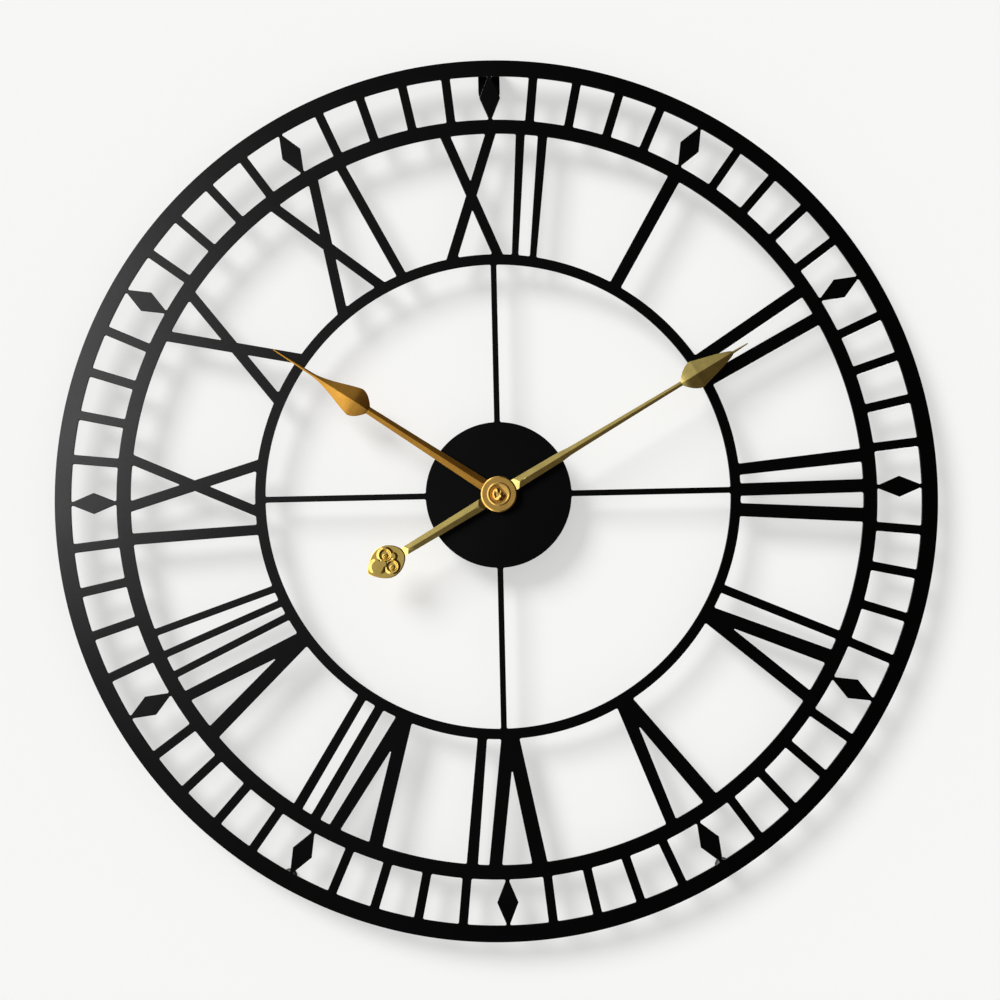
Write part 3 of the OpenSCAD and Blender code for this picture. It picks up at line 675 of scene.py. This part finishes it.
def battery_wrap():
    """Generic printed jacket: graphite body, pale band near the positive end, fine print grain."""
    made = material("battery_wrap", (0.05, 0.07, 0.10), metallic=0.55, roughness=0.3, Coat_Weight=0.4)
    shader = shader_of(made)
    vector = object_coordinates(made)
    split = node(made, "ShaderNodeSeparateXYZ")
    link(made, vector, split.inputs["Vector"])
    band_x = ramp(made, split.outputs["X"], 0.0, 1.0, *JACKET_ENDS)
    stripes = colour_ramp(made, band_x, [
        (0.0, (0.03, 0.05, 0.09)), (0.665, (0.035, 0.06, 0.11)), (0.67, (0.62, 0.64, 0.66)),
        (0.70, (0.62, 0.64, 0.66)), (0.705, (0.015, 0.17, 0.20)), (1.0, (0.015, 0.19, 0.22)),
    ])
    link(made, stripes, shader.inputs["Base Color"])
    grain = noise_texture(made, vector, 0.4, 2.0)
    link(made, ramp(made, grain, 0.24, 0.36), shader.inputs["Roughness"])
    link(made, bump(made, grain, 0.01, 0.2), shader.inputs["Normal"])
    return made


WALL_GLOW = 0.5


def wall_paint():
    """Matt white wall with a little glow of its own, which keeps the shadows on it pale.
    From behind it is clear, so that the clock's back shows."""
    made = material("wall_paint", (0.45, 0.45, 0.445), roughness=0.9)
    shader = shader_of(made)
    shader.inputs["Specular IOR Level"].default_value = 0.1
    shader.inputs["Emission Color"].default_value = (1.0, 1.0, 0.985, 1)
    shader.inputs["Emission Strength"].default_value = WALL_GLOW
    vector = object_coordinates(made)
    cloud = noise_texture(made, vector, 25.0, 3.0)
    link(made, bump(made, cloud, 0.05, 0.1), shader.inputs["Normal"])
    geometry = node(made, "ShaderNodeNewGeometry")
    clear = node(made, "ShaderNodeBsdfTransparent")
    choose = node(made, "ShaderNodeMixShader")
    output = made.node_tree.nodes["Material Output"]
    link(made, geometry.outputs["Backfacing"], choose.inputs[0])
    link(made, shader.outputs["BSDF"], choose.inputs[1])
    link(made, clear.outputs["BSDF"], choose.inputs[2])
    link(made, choose.outputs["Shader"], output.inputs["Surface"])
    return made


def floor_paint():
    made = material("floor_paint", (0.5, 0.5, 0.49), roughness=0.7)
    shader = shader_of(made)
    cloud = noise_texture(made, object_coordinates(made), 40.0, 3.0)
    link(made, bump(made, cloud, 0.05, 0.1), shader.inputs["Normal"])
    return made


COAT = powder_coat()
# The hour hand is gilt like the minute hand; its darker, more orange base colour is painted shade, which makes its
# reflections dimmer.
SHADED_HOUR_GOLD = gold("hour_hand_gold_painted_shade", (0.55, 0.275, 0.045), 0.20, (1, 1, 0.02))
MINUTE_GOLD = gold("minute_hand_gold", (0.72, 0.565, 0.18), 0.20, (1, 1, 0.02))
HUB_GOLD = gold("hub_gold", (0.84, 0.51, 0.13), 0.22)
MEDALLION_GOLD = gold("medallion_gold", (0.80, 0.57, 0.15), 0.16)
BRASS = turned_brass()
STEEL = steel("nickelled_steel", (0.62, 0.62, 0.60), 0.24)
CORE_STEEL = steel("core_steel", (0.40, 0.41, 0.42), 0.35)
MAGNET = steel("magnet_dark", (0.16, 0.16, 0.17), 0.42)
CASE = moulded("case_black_plastic", (0.022, 0.022, 0.024), 0.48)
PALE = moulded("pale_plastic", (0.62, 0.57, 0.44), 0.45)
ACETAL = moulded("white_acetal", (0.78, 0.75, 0.66), 0.35, 0.6, 0.015)
GREY = moulded("grey_plastic", (0.34, 0.34, 0.33), 0.42)
RUBBER = moulded("black_rubber", (0.018, 0.018, 0.019), 0.75, 0.8, 0.05, 0.7)
EPOXY = moulded("black_epoxy", (0.008, 0.008, 0.008), 0.22, 1.5, 0.03, 0.3)
WIRE = enamelled_wire()
BOARD = solder_mask()
WRAP = battery_wrap()


# ---------------------------------------------------------------- hands

# One cross-section of a folded blade: place along the hand, half width, edge height, ridge height
# and half width of the flat along the ridge.
Station = namedtuple("Station", "r half edge ridge flat")
FOLD_T = 0.5
RIDGE_FLAT = 0.16
RIDGE_ANGLE = 9
BLADE_ROUND = 0.08
BLADE_ROUND_ANGLE = 14

# Slope of the two facets, slope of the cuts at an arm's ends, and heights of its edge and of the cuts' feet.
FACET_SLOPE = 0.2
HIP_SLOPE = 0.29
HIP_FOOT = 0.15
ARM_EDGE = 1.0
LEAF_EDGE = 0.36


def ridge_over(edge, half):
    """Both facets keep one slope, so wide parts of a hand stand higher than its narrow arm."""
    return edge + FACET_SLOPE * half


def blade(name, stations, back_y):
    """A sheet folded along its middle, as a closed shell. It points at 12."""
    vertices, faces = [], []
    for s in stations:
        hollow = max(0.0, s.ridge - FOLD_T)
        section = [
            (-s.half, 0), (-s.half, s.edge), (-s.flat, s.ridge), (s.flat, s.ridge), (s.half, s.edge), (s.half, 0),
            (0, hollow),
        ]
        vertices += [in_frame(x, s.r, back_y - height) for x, height in section]
    sides = 7
    for k in range(len(stations) - 1):
        for i in range(sides):
            j = (i + 1) % sides
            faces.append((sides * k + i, sides * k + j, sides * k + sides + j, sides * k + sides + i))
    faces.append(tuple(range(sides)))
    last = sides * (len(stations) - 1)
    faces.append(tuple(last + i for i in range(sides)))
    obj = add_object(name, vertices, faces)
    turn_faces_outward(obj)
    obj.data.set_sharp_from_angle(angle=math.radians(RIDGE_ANGLE))
    return obj


def arm_stations(from_r, to_r, half_at, cut_to=False, count=14):
    """Stations of a straight arm. A sloping plane cuts it off at its start, which leaves a pointed facet,
    and where asked another does so at its end."""
    reach = (ridge_over(ARM_EDGE, half_at(from_r)) - HIP_FOOT) / HIP_SLOPE
    corner_reach = (ARM_EDGE - HIP_FOOT) / HIP_SLOPE
    places = {from_r + (to_r - from_r) * i / count for i in range(count + 1)}
    places |= {from_r + corner_reach, from_r + reach}
    if cut_to:
        places |= {to_r - corner_reach, to_r - reach}
    stations = []
    for r in sorted(places):
        half = half_at(r)
        cut = HIP_FOOT + HIP_SLOPE * (r - from_r)
        if cut_to:
            cut = min(cut, HIP_FOOT + HIP_SLOPE * (to_r - r))
        edge = min(ARM_EDGE, cut)
        ridge = min(ridge_over(ARM_EDGE, half) - FACET_SLOPE * RIDGE_FLAT, cut + 0.002)
        flat = half - max(0.02, (ridge - ARM_EDGE) / FACET_SLOPE)
        stations.append(Station(r, half, edge, ridge, max(flat, RIDGE_FLAT)))
    return stations


# Distances of a leaf's places from the hands' axis, its widths there, and the two powers that shape its taper.
Leaf = namedtuple("Leaf", "base belly neck tip base_w belly_w needle_w swell power")
HOUR_LEAF = Leaf(105.3, 116.0, 151.5, 182.0, 5.2, 20.4, 2.2, 1.3, 1.8)
MINUTE_LEAF = Leaf(145.0, 157.6, 186.0, 198.0, 3.2, 19.8, 1.9, 0.85, 0.72)
POINT_W = 0.7

# How far an arm's waist is from the hands' axis, its widths at the axis, just inside the waist and just beyond
# it, and the power of the taper from there.
Arm = namedtuple("Arm", "waist axis_w inner_w outer_w power")
HOUR_ARM = Arm(48, 8.6, 6.9, 6.9, 1.0)
MINUTE_ARM = Arm(50, 8.0, 6.6, 6.0, 0.6)
TAIL_FOOT_W = 6.0

# Where the hubs cut the arms off.
HOUR_ARM_START = 7.5
MINUTE_ARM_START = 10.8


def arm_half(arm, leaf, r):
    """Half width of an arm, as far as the base of its leaf."""
    if r < arm.waist:
        return mix(arm.axis_w, arm.inner_w, r / arm.waist) / 2
    t = (r - arm.waist) / (leaf.base - arm.waist)
    return mix(arm.outer_w, leaf.base_w, t ** arm.power) / 2


def leaf_half(leaf, r):
    """Half width: round shoulders up to the belly, a taper to the neck, then the needle."""
    if r < leaf.belly:
        t = (r - leaf.base) / (leaf.belly - leaf.base)
        return mix(leaf.base_w, leaf.belly_w, math.sin(math.pi / 2 * t) ** 0.9) / 2
    if r < leaf.neck:
        t = (r - leaf.belly) / (leaf.neck - leaf.belly)
        return mix(leaf.needle_w, leaf.belly_w, (1 - t ** leaf.swell) ** leaf.power) / 2
    return mix(leaf.needle_w, POINT_W, (r - leaf.neck) / (leaf.tip - leaf.neck)) / 2


def leaf_stations(leaf):
    places = [mix(leaf.base, leaf.belly, i / 12) for i in range(1, 13)]
    places += [mix(leaf.belly, leaf.neck, i / 28) for i in range(1, 29)]
    places += [mix(leaf.neck, leaf.tip, i / 10) for i in range(1, 11)]
    stations = []
    for r in places:
        half = leaf_half(leaf, r)
        edge = mix(ARM_EDGE, LEAF_EDGE, smoothstep(leaf.base, leaf.belly, r))
        stations.append(Station(r, half, edge, ridge_over(edge, half), min(RIDGE_FLAT, half / 2)))
    return stations


def point_at(obj, degrees):
    """Turns a hand that points at 12 to its place; its own coordinates stay along the hand."""
    obj.matrix_world = Matrix.Rotation(math.radians(degrees), 4, "Y")
    return obj


def gilt(obj, paint, body, *nodes):
    obj.data.materials.append(paint)
    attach(obj, body)
    if nodes:
        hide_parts(*nodes)


def hour_hand():
    stations = arm_stations(HOUR_ARM_START, HOUR_LEAF.base, lambda r: arm_half(HOUR_ARM, HOUR_LEAF, r))
    stations += leaf_stations(HOUR_LEAF)[1:]
    hand = blade("hour_hand_blade", stations, high("hour_hand").y)
    round_edges(hand, BLADE_ROUND, 1, BLADE_ROUND_ANGLE)
    gilt(point_at(hand, HOUR_ANGLE), SHADED_HOUR_GOLD, "hour_train", "hour_hand")


def hour_hub():
    """Disc of the hour hand and its collet, turned in one."""
    back = high("hour_hand").y
    front = low("hour_collet").y
    bore = 2.54
    profile = [
        (bore, back), (8.8, back), (9.0, back - 0.2), (8.9, back - 0.6), (8.6, back - 0.8), (6.3, back - 0.8),
        (6.0, back - 0.9), (5.9, front + 0.2), (5.6, front), (bore + 0.2, front), (bore, front + 0.2), (bore, back),
    ]
    gilt(lathe("hour_hub", profile), HUB_GOLD, "hour_train", "hour_collet")


def minute_blades():
    """The minute hand's arm and leaf, and the tail that runs under the medallion's edge."""
    back = high("minute_hand").y
    stations = arm_stations(
        MINUTE_ARM_START, MINUTE_LEAF.base, lambda r: arm_half(MINUTE_ARM, MINUTE_LEAF, r), count=24)
    stations += leaf_stations(MINUTE_LEAF)[1:]
    front = blade("minute_hand_blade", stations, back)

    def tail_half(r):
        return mix(MINUTE_ARM.axis_w, TAIL_FOOT_W, -r / MEDALLION_R0) / 2

    tail_stations = arm_stations(-MEDALLION_R0 - 1.2, -MINUTE_ARM_START, tail_half, cut_to=True)
    tail = blade("minute_hand_tail", tail_stations, back)
    for obj, nodes in ((front, ["minute_hand"]), (tail, [])):
        round_edges(obj, BLADE_ROUND, 1, BLADE_ROUND_ANGLE)
        gilt(point_at(obj, MINUTE_ANGLE), MINUTE_GOLD, "minute_train", *nodes)


# The nut and the ring round it have one flattened side, at this distance from the axis.
NUT_FLAT = 3.7
NUT_FLAT_TOWARDS = math.radians(38)
NUT_R = 5.15
NUT_LUMPS = 1.1
GROOVE_R = 5.65


def flattened(radius, angle, flat):
    """Radius cut back to a straight side at a distance from the axis."""
    off = math.cos(angle - NUT_FLAT_TOWARDS)
    return min(radius, flat / off) if off > 0.3 else radius


def held(profile):
    """The profile with extra points close to its corners, so that flat lands stay flat when shaded smooth."""
    reach = 0.13
    points = [profile[0]]
    for (r0, y0), (r1, y1) in zip(profile, profile[1:]):
        length = math.hypot(r1 - r0, y1 - y0)
        if length > 4 * reach:
            for t in (reach / length, 1 - reach / length):
                points.append((mix(r0, r1, t), mix(y0, y1, t)))
        points.append((r1, y1))
    return points


def minute_hub():
    """Stepped boss over the minute hand: sloping flank, flat land, raised ring and a groove round the nut."""
    back = high("minute_hand").y
    bore = 1.58

    def one_flat_side(radius, angle, y):
        if 5 < radius < 6.5:
            return flattened(radius, angle, NUT_FLAT + radius - GROOVE_R), y
        return radius, y

    profile = held([
        (bore, back), (12.1, back), (12.2, back - 0.9), (11.4, back - 1.6), (8.0, back - 1.6), (7.4, back - 1.95),
        (6.7, back - 1.95), (6.0, back - 1.75), (5.7, back - 1.5), (GROOVE_R, back - 0.7), (bore, back - 0.7),
        (bore, back),
    ])
    hub = lathe("minute_hub", profile, sharp_angle=60, bumps=one_flat_side)
    gilt(hub, HUB_GOLD, "minute_train", "minute_collet")


def cap_nut():
    """Domed nut whose face is uneven, so that it glints in patches."""
    back = high("minute_hand").y
    front = low("cap_nut").y
    foot = back - 0.72
    rise = foot - front - 0.95

    def uneven(radius, angle, y):
        lump = noise.noise(Vector((radius * math.cos(angle), radius * math.sin(angle), 7.3)) * 0.5)
        flat_side = flattened(radius, angle, (NUT_FLAT - 0.5) * radius / NUT_R)
        return flat_side, y + NUT_LUMPS * lump * smoothstep(5.2, 3.8, radius)

    steps = 18
    profile = [(NUT_R, foot)]
    for i in range(steps + 1):
        a = math.pi / 2 * i / steps
        radius = NUT_R * math.cos(a) ** 0.5 if i < steps else 0
        profile.append((radius, foot - 0.15 - rise * math.sin(a)))
    nut = lathe("cap_nut_dome", profile, sharp_angle=180, bumps=uneven)
    gilt(nut, HUB_GOLD, "minute_train", "cap_nut")


# ---------------------------------------------------------------- medallion

MEDALLION_R0 = 75.0
MEDALLION_R1 = 103.0
MEDALLION_W = 22.0
TIP_HALF = 0.6

# Heights above the hand's back: the rim, the ground, the lobes above the ground, the scrolls' dishes
# below the lobes, and the eyes in the dishes.
RIM_H = 0.55
GROUND_H = 0.95
LOBE_RISE = 1.35
DISH_DEPTH = 1.6
EYE_RISE = 1.4
EYE_W = 1.1
EYE_OFF = Vector((1.0, -0.4))
VALLEY_DEPTH = 0.7

# Lobes of the ornament on the medallion: x across, y towards the hub, radius.
SCROLLS = [(-4.6, 2.2, 4.9), (4.4, 2.4, 4.8)]
LEAF_LOBES = [(-0.3, -6.2, 5.3), (-0.2, -2.0, 3.4)]
STEM_LOBE = (-1.0, 6.4, 2.3)


def medallion_outline(t):
    """Half width from the tail's end of the arm, t = 0, to the pointed end, t = 1."""
    if not 0 < t < 1:
        return TIP_HALF
    return (MEDALLION_W / 2 - TIP_HALF) * math.sin(math.pi * t ** 0.9) ** mix(0.62, 0.85, t) + TIP_HALF


def bell(distance, width):
    return math.exp(-(distance / width) ** 2)


def medallion_height(x, y):
    """Height of the relief. x is across the hand, y grows towards the hub, and (0, 0) is the middle."""
    outside = min(math.hypot(x - cx, y - cy) - r for cx, cy, r in [*SCROLLS, *LEAF_LOBES, STEM_LOBE])
    towards_hub = smoothstep(-1.0, 5.0, y)
    rise = LOBE_RISE * smoothstep(mix(0.9, 0.7, towards_hub), mix(-1.4, -0.5, towards_hub), outside)
    # the leaf sinks towards one side, but not the scroll beside it
    scroll_x, scroll_y, scroll_r = SCROLLS[1]
    beside = smoothstep(0.5, 1.5, math.hypot(x - scroll_x, y - scroll_y) - scroll_r)
    sunk = smoothstep(-3.8, -8.0, 0.5 * y - 0.87 * x) * beside
    height = GROUND_H + rise * (1 - 0.9 * sunk)
    for cx, cy, r in SCROLLS:
        height -= DISH_DEPTH * smoothstep(r - 0.7, r - 2.3, math.hypot(x - cx, y - cy))
        height += EYE_RISE * bell(math.hypot(x - cx - EYE_OFF.x, y - cy - EYE_OFF.y), EYE_W)
    # valley where the scrolls meet
    height -= VALLEY_DEPTH * bell(x + 0.1, 0.5) * bell(y - 3.4, 2.0)
    return height


def medallion():
    """Rings of points from the middle out to the rim, then a side wall and a flat back."""
    back = high("minute_hand").y
    middle = -(MEDALLION_R0 + MEDALLION_R1) / 2
    half = (MEDALLION_R1 - MEDALLION_R0) / 2
    per_side, rings = 72, 60
    outline = []
    for i in range(2 * per_side):
        k = i if i < per_side else 2 * per_side - i
        t = (1 - math.cos(math.pi * k / per_side)) / 2
        side = 1 if i < per_side else -1
        outline.append(Vector((side * medallion_outline(t), (1 - 2 * t) * half)))
    count = len(outline)
    vertices = [in_frame(0, middle, back - medallion_height(0, 0))]
    for k in range(1, rings + 1):
        t = k / rings
        for p in outline:
            height = medallion_height(p.x * t, p.y * t)
            edge = smoothstep(1.0, 0.95, t)
            height = mix(RIM_H, height, math.sqrt(edge))
            vertices.append(in_frame(p.x * t, middle + p.y * t, back - height))
    faces = [(0, 1 + i, 1 + (i + 1) % count) for i in range(count)]
    for k in range(rings - 1):
        inner, outer = 1 + k * count, 1 + (k + 1) * count
        for i in range(count):
            j = (i + 1) % count
            faces.append((inner + i, inner + j, outer + j, outer + i))
    rim = 1 + (rings - 1) * count
    start = len(vertices)
    vertices += [in_frame(p.x, middle + p.y, back) for p in outline]
    for i in range(count):
        j = (i + 1) % count
        faces.append((rim + i, rim + j, start + j, start + i))
    vertices.append(in_frame(0, middle, back))
    faces += [(start + (i + 1) % count, start + i, len(vertices) - 1) for i in range(count)]
    obj = add_object("minute_hand_medallion", vertices, faces, sharp_angle=50)
    turn_faces_outward(obj)
    gilt(point_at(obj, MINUTE_ANGLE), MEDALLION_GOLD, "minute_train")


# ---------------------------------------------------------------- back of the clock

def wall_bumpers():
    """Two turned rubber feet with a rounded rim and a dished face."""
    ring_middle = DIAL_R - RING_W / 2
    r = 5.0
    profile = [
        (0, DIAL_BACK), (r - 0.3, DIAL_BACK), (r, DIAL_BACK + 0.3), (r, DIAL_BACK + 2.0),
        (r - 0.5, DIAL_BACK + 2.4), (r - 0.8, -3.0), (r - 0.4, -2.2), (r, -1.6), (r, -0.7), (r - 0.2, -0.25),
        (r - 0.7, 0.0), (r - 1.6, 0.0), (r - 2.2, -0.4), (0, -0.5),
    ]
    feet = [lathe(f"bumper_{hour}", profile, polar(ring_middle, hour * HOUR_STEP), 48) for hour in (5, 7)]
    pair = join_meshes("wall_bumper_feet", feet)
    pair.data.materials.append(RUBBER)
    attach(pair, "clock")
    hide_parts("wall_bumpers")


def battery():
    """AA cell: crimped jacket, plated ends, stepped positive nub. Drawn along Y, then laid along X."""
    lo, hi = low("battery"), high("battery")
    r = (hi.z - lo.z) / 2
    centre_y, centre_z = (lo.y + hi.y) / 2, (lo.z + hi.z) / 2
    nub_end = hi.x
    right = nub_end - 1.0
    left = lo.x
    jacket = [
        (r - 1.1, left + 0.25), (r - 0.5, left + 0.05), (r - 0.15, left + 0.15), (r, left + 0.5), (r, right - 0.6),
        (r - 0.15, right - 0.2), (r - 0.6, right), (r - 1.2, right - 0.15),
    ]
    ends = [
        [(r - 1.0, left + 0.3), (r - 1.6, left + 0.12), (r - 3.0, left), (0, left)],
        [
            (r - 1.0, right - 0.25), (r - 2.0, right - 0.15), (r - 2.6, right - 0.3), (3.4, right - 0.3),
            (3.0, right - 0.1), (2.75, right + 0.1), (2.7, nub_end - 0.25), (2.5, nub_end - 0.05), (2.2, nub_end),
            (0, nub_end),
        ],
    ]
    lay = Matrix.Translation((0, centre_y * MM, centre_z * MM)) @ Matrix.Rotation(-math.pi / 2, 4, "Z")

    def laid(obj, paint):
        obj.data.transform(lay)
        obj.data.materials.append(paint)
        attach(obj, "battery")
        return obj

    body = laid(lathe("battery_jacket", jacket), WRAP)
    for name, profile in zip(("battery_negative_end", "battery_positive_end"), ends):
        laid(lathe(name, profile, segments=64), STEEL)
    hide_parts("battery")


# The softboxes light only what is in here.
COATED = bpy.data.collections.new("coated")
WELD_M = 0.00001


def dress(paint, *nodes, bevel=0.0):
    """Gives CAD nodes a material and, where asked, rounded edges."""
    for name in nodes:
        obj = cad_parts[name]
        obj.data.materials.clear()
        obj.data.materials.append(paint)
        if paint is COAT:
            COATED.objects.link(obj)
        if bevel:
            weld = obj.modifiers.new("weld", "WELD")
            weld.merge_threshold = WELD_M
            round_edges(obj, bevel, 2, 35)


# ---------------------------------------------------------------- build

def build_dial():
    plate = dial_plate()
    plate.data.materials.append(COAT)
    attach(plate, "clock")
    COATED.objects.link(plate)
    dial_nodes = [
        "outer_ring", "middle_ring", "inner_ring", "minute_bars", "hour_diamonds", "spokes", "centre_disc",
    ]
    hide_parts(*dial_nodes, *(f"numeral_{hour}" for hour in range(1, 13)))


build_dial()
hour_hand()
hour_hub()
minute_blades()
minute_hub()
medallion()
cap_nut()
wall_bumpers()
battery()

dress(COAT, "hanger_bracket", bevel=0.25)
dress(CASE, "front_case", "back_cover", bevel=0.2)
dress(RUBBER, "gasket", bevel=0.2)
dress(BRASS, "washer", "hex_nut", bevel=0.12)
dress(BRASS, "threaded_bushing", "minute_arbor")
dress(PALE, "middle_plate", "coil_bobbin", bevel=0.1)
dress(BOARD, "circuit_board")
dress(EPOXY, "chip")
dress(STEEL, "crystal", "positive_contact", "negative_contact", bevel=0.08)
dress(WIRE, "coil_winding")
dress(CORE_STEEL, "coil_core", "stator", bevel=0.08)
dress(MAGNET, "rotor")
dress(ACETAL, "intermediate_wheel", "fourth_wheel", "third_wheel", "centre_wheel", "minute_wheel", "hour_wheel")
dress(GREY, "setting_knob", bevel=0.12)


# ---------------------------------------------------------------- stage, camera and light

WALL_Y = 0.0006
FLOOR_Z = -0.95
REACH = 4.0

CAMERA_PLACE = (-0.0230, -1.1484, -0.0669)
CAMERA_TARGET = (0.0008, -0.019, -0.0036)
CAMERA_ROLL = -1.3
CAMERA_LENS = 60
CAMERA_SENSOR = 36

# Brightness of the world: as a light, as the backdrop, and in reflections.
AMBIENT = 0.4
BACKDROP = 0.85
GLARE = 3.0
# What reflections see of the world, from its left side, 0, to its right, 1.
SWEEP = [
    (0.0, 0.8), (0.08, 0.6), (0.15, 0.45), (0.24, 0.9), (0.28, 0.9), (0.30, 0.6), (0.32, 0.25), (0.36, 0.2),
    (0.385, 0.24), (0.405, 0.18), (0.46, 0.18), (0.51, 0.185),
    (0.53, 0.13), (0.55, 0.04), (0.60, 0.03), (0.66, 0.042), (0.75, 0.02), (1.0, 0.01),
]


def plane(name, corners, paint):
    """A staging surface. Reflections and bounced light come from the world instead."""
    obj = add_object(name, corners, [(0, 1, 2, 3)], smooth=False)
    obj.data.materials.append(paint)
    obj.visible_glossy = False
    obj.visible_diffuse = False
    return obj


def build_room():
    wall = plane("wall", [
        (-REACH, WALL_Y, FLOOR_Z), (REACH, WALL_Y, FLOOR_Z), (REACH, WALL_Y, REACH), (-REACH, WALL_Y, REACH),
    ], wall_paint())
    # the fill light reaches the clock's back through the wall
    wall.visible_shadow = False
    plane("floor", [
        (-REACH, -REACH, FLOOR_Z), (REACH, -REACH, FLOOR_Z), (REACH, REACH, FLOOR_Z), (-REACH, REACH, FLOOR_Z),
    ], floor_paint())


def place(name, data, location, target, roll=0.0):
    """Adds a camera or a light that looks at a target."""
    obj = bpy.data.objects.new(name, data)
    bpy.context.scene.collection.objects.link(obj)
    direction = Vector(target) - Vector(location)
    turn = direction.to_track_quat("-Z", "Y").to_matrix().to_4x4()
    obj.matrix_world = Matrix.Translation(location) @ turn @ Matrix.Rotation(math.radians(roll), 4, "Z")
    return obj


def build_camera():
    data = bpy.data.cameras.new("camera")
    data.lens = CAMERA_LENS
    data.sensor_width = CAMERA_SENSOR
    bpy.context.scene.camera = place("camera", data, CAMERA_PLACE, CAMERA_TARGET, CAMERA_ROLL)


def sun(name, direction, strength, angle):
    data = bpy.data.lights.new(name, "SUN")
    data.energy = strength
    data.angle = math.radians(angle)
    return place(name, data, (0, 0, 0), direction)


def softbox(name, location, target, size, energy):
    """Square light that only shows as a sheen on the powder coat."""
    data = bpy.data.lights.new(name, "AREA")
    data.size = size
    data.energy = energy
    obj = place(name, data, location, target)
    obj.visible_diffuse = False
    obj.light_linking.receiver_collection = COATED


def build_lights():
    """The key throws the soft shadows down to the right; the fill lights the back of the clock."""
    key = sun("key", (0.92, 1.0, -0.95), 2.9, 24)
    key.visible_glossy = False
    sun("back_fill", (0.5, -1.0, -0.6), 2.0, 40)
    softbox("left_softbox", (-0.80, -1.2, 0.28), (-0.3, 0, 0.05), 0.55, 74)
    softbox("back_softbox", (1.3, 1.3, -0.3), (0, 0, 0), 1.6, 90)


def build_world():
    """Soft studio: even light, but reflections see a bright left side and a dark front and right."""
    world = bpy.data.worlds.new("studio")
    bpy.context.scene.world = world
    world.use_nodes = True
    path = node(world, "ShaderNodeLightPath")
    even = world.node_tree.nodes["Background"]
    even.inputs["Color"].default_value = (1, 1, 1, 1)
    level = ramp(world, path.outputs["Is Camera Ray"], AMBIENT, BACKDROP, 0, 1)
    link(world, level, even.inputs["Strength"])

    split = node(world, "ShaderNodeSeparateXYZ")
    link(world, node(world, "ShaderNodeTexCoord").outputs["Generated"], split.inputs["Vector"])
    across = ramp(world, split.outputs["X"], 0, 1, -1, 1)
    stops = []
    for position, amount in SWEEP:
        warm = 0.4 * smoothstep(0.53, 0.6, position)
        stops.append((position, (amount, amount * (1 - 0.5 * warm), amount * (1 - warm))))
    reflected = node(world, "ShaderNodeBackground", Strength=GLARE)
    link(world, colour_ramp(world, across, stops), reflected.inputs["Color"])

    choose = node(world, "ShaderNodeMixShader")
    link(world, path.outputs["Is Glossy Ray"], choose.inputs[0])
    link(world, even.outputs["Background"], choose.inputs[1])
    link(world, reflected.outputs["Background"], choose.inputs[2])
    link(world, choose.outputs["Shader"], world.node_tree.nodes["World Output"].inputs["Surface"])


build_room()
build_camera()
build_lights()
build_world()
bpy.context.scene.view_settings.view_transform = "Standard"
bpy.context.scene.view_settings.look = "None"
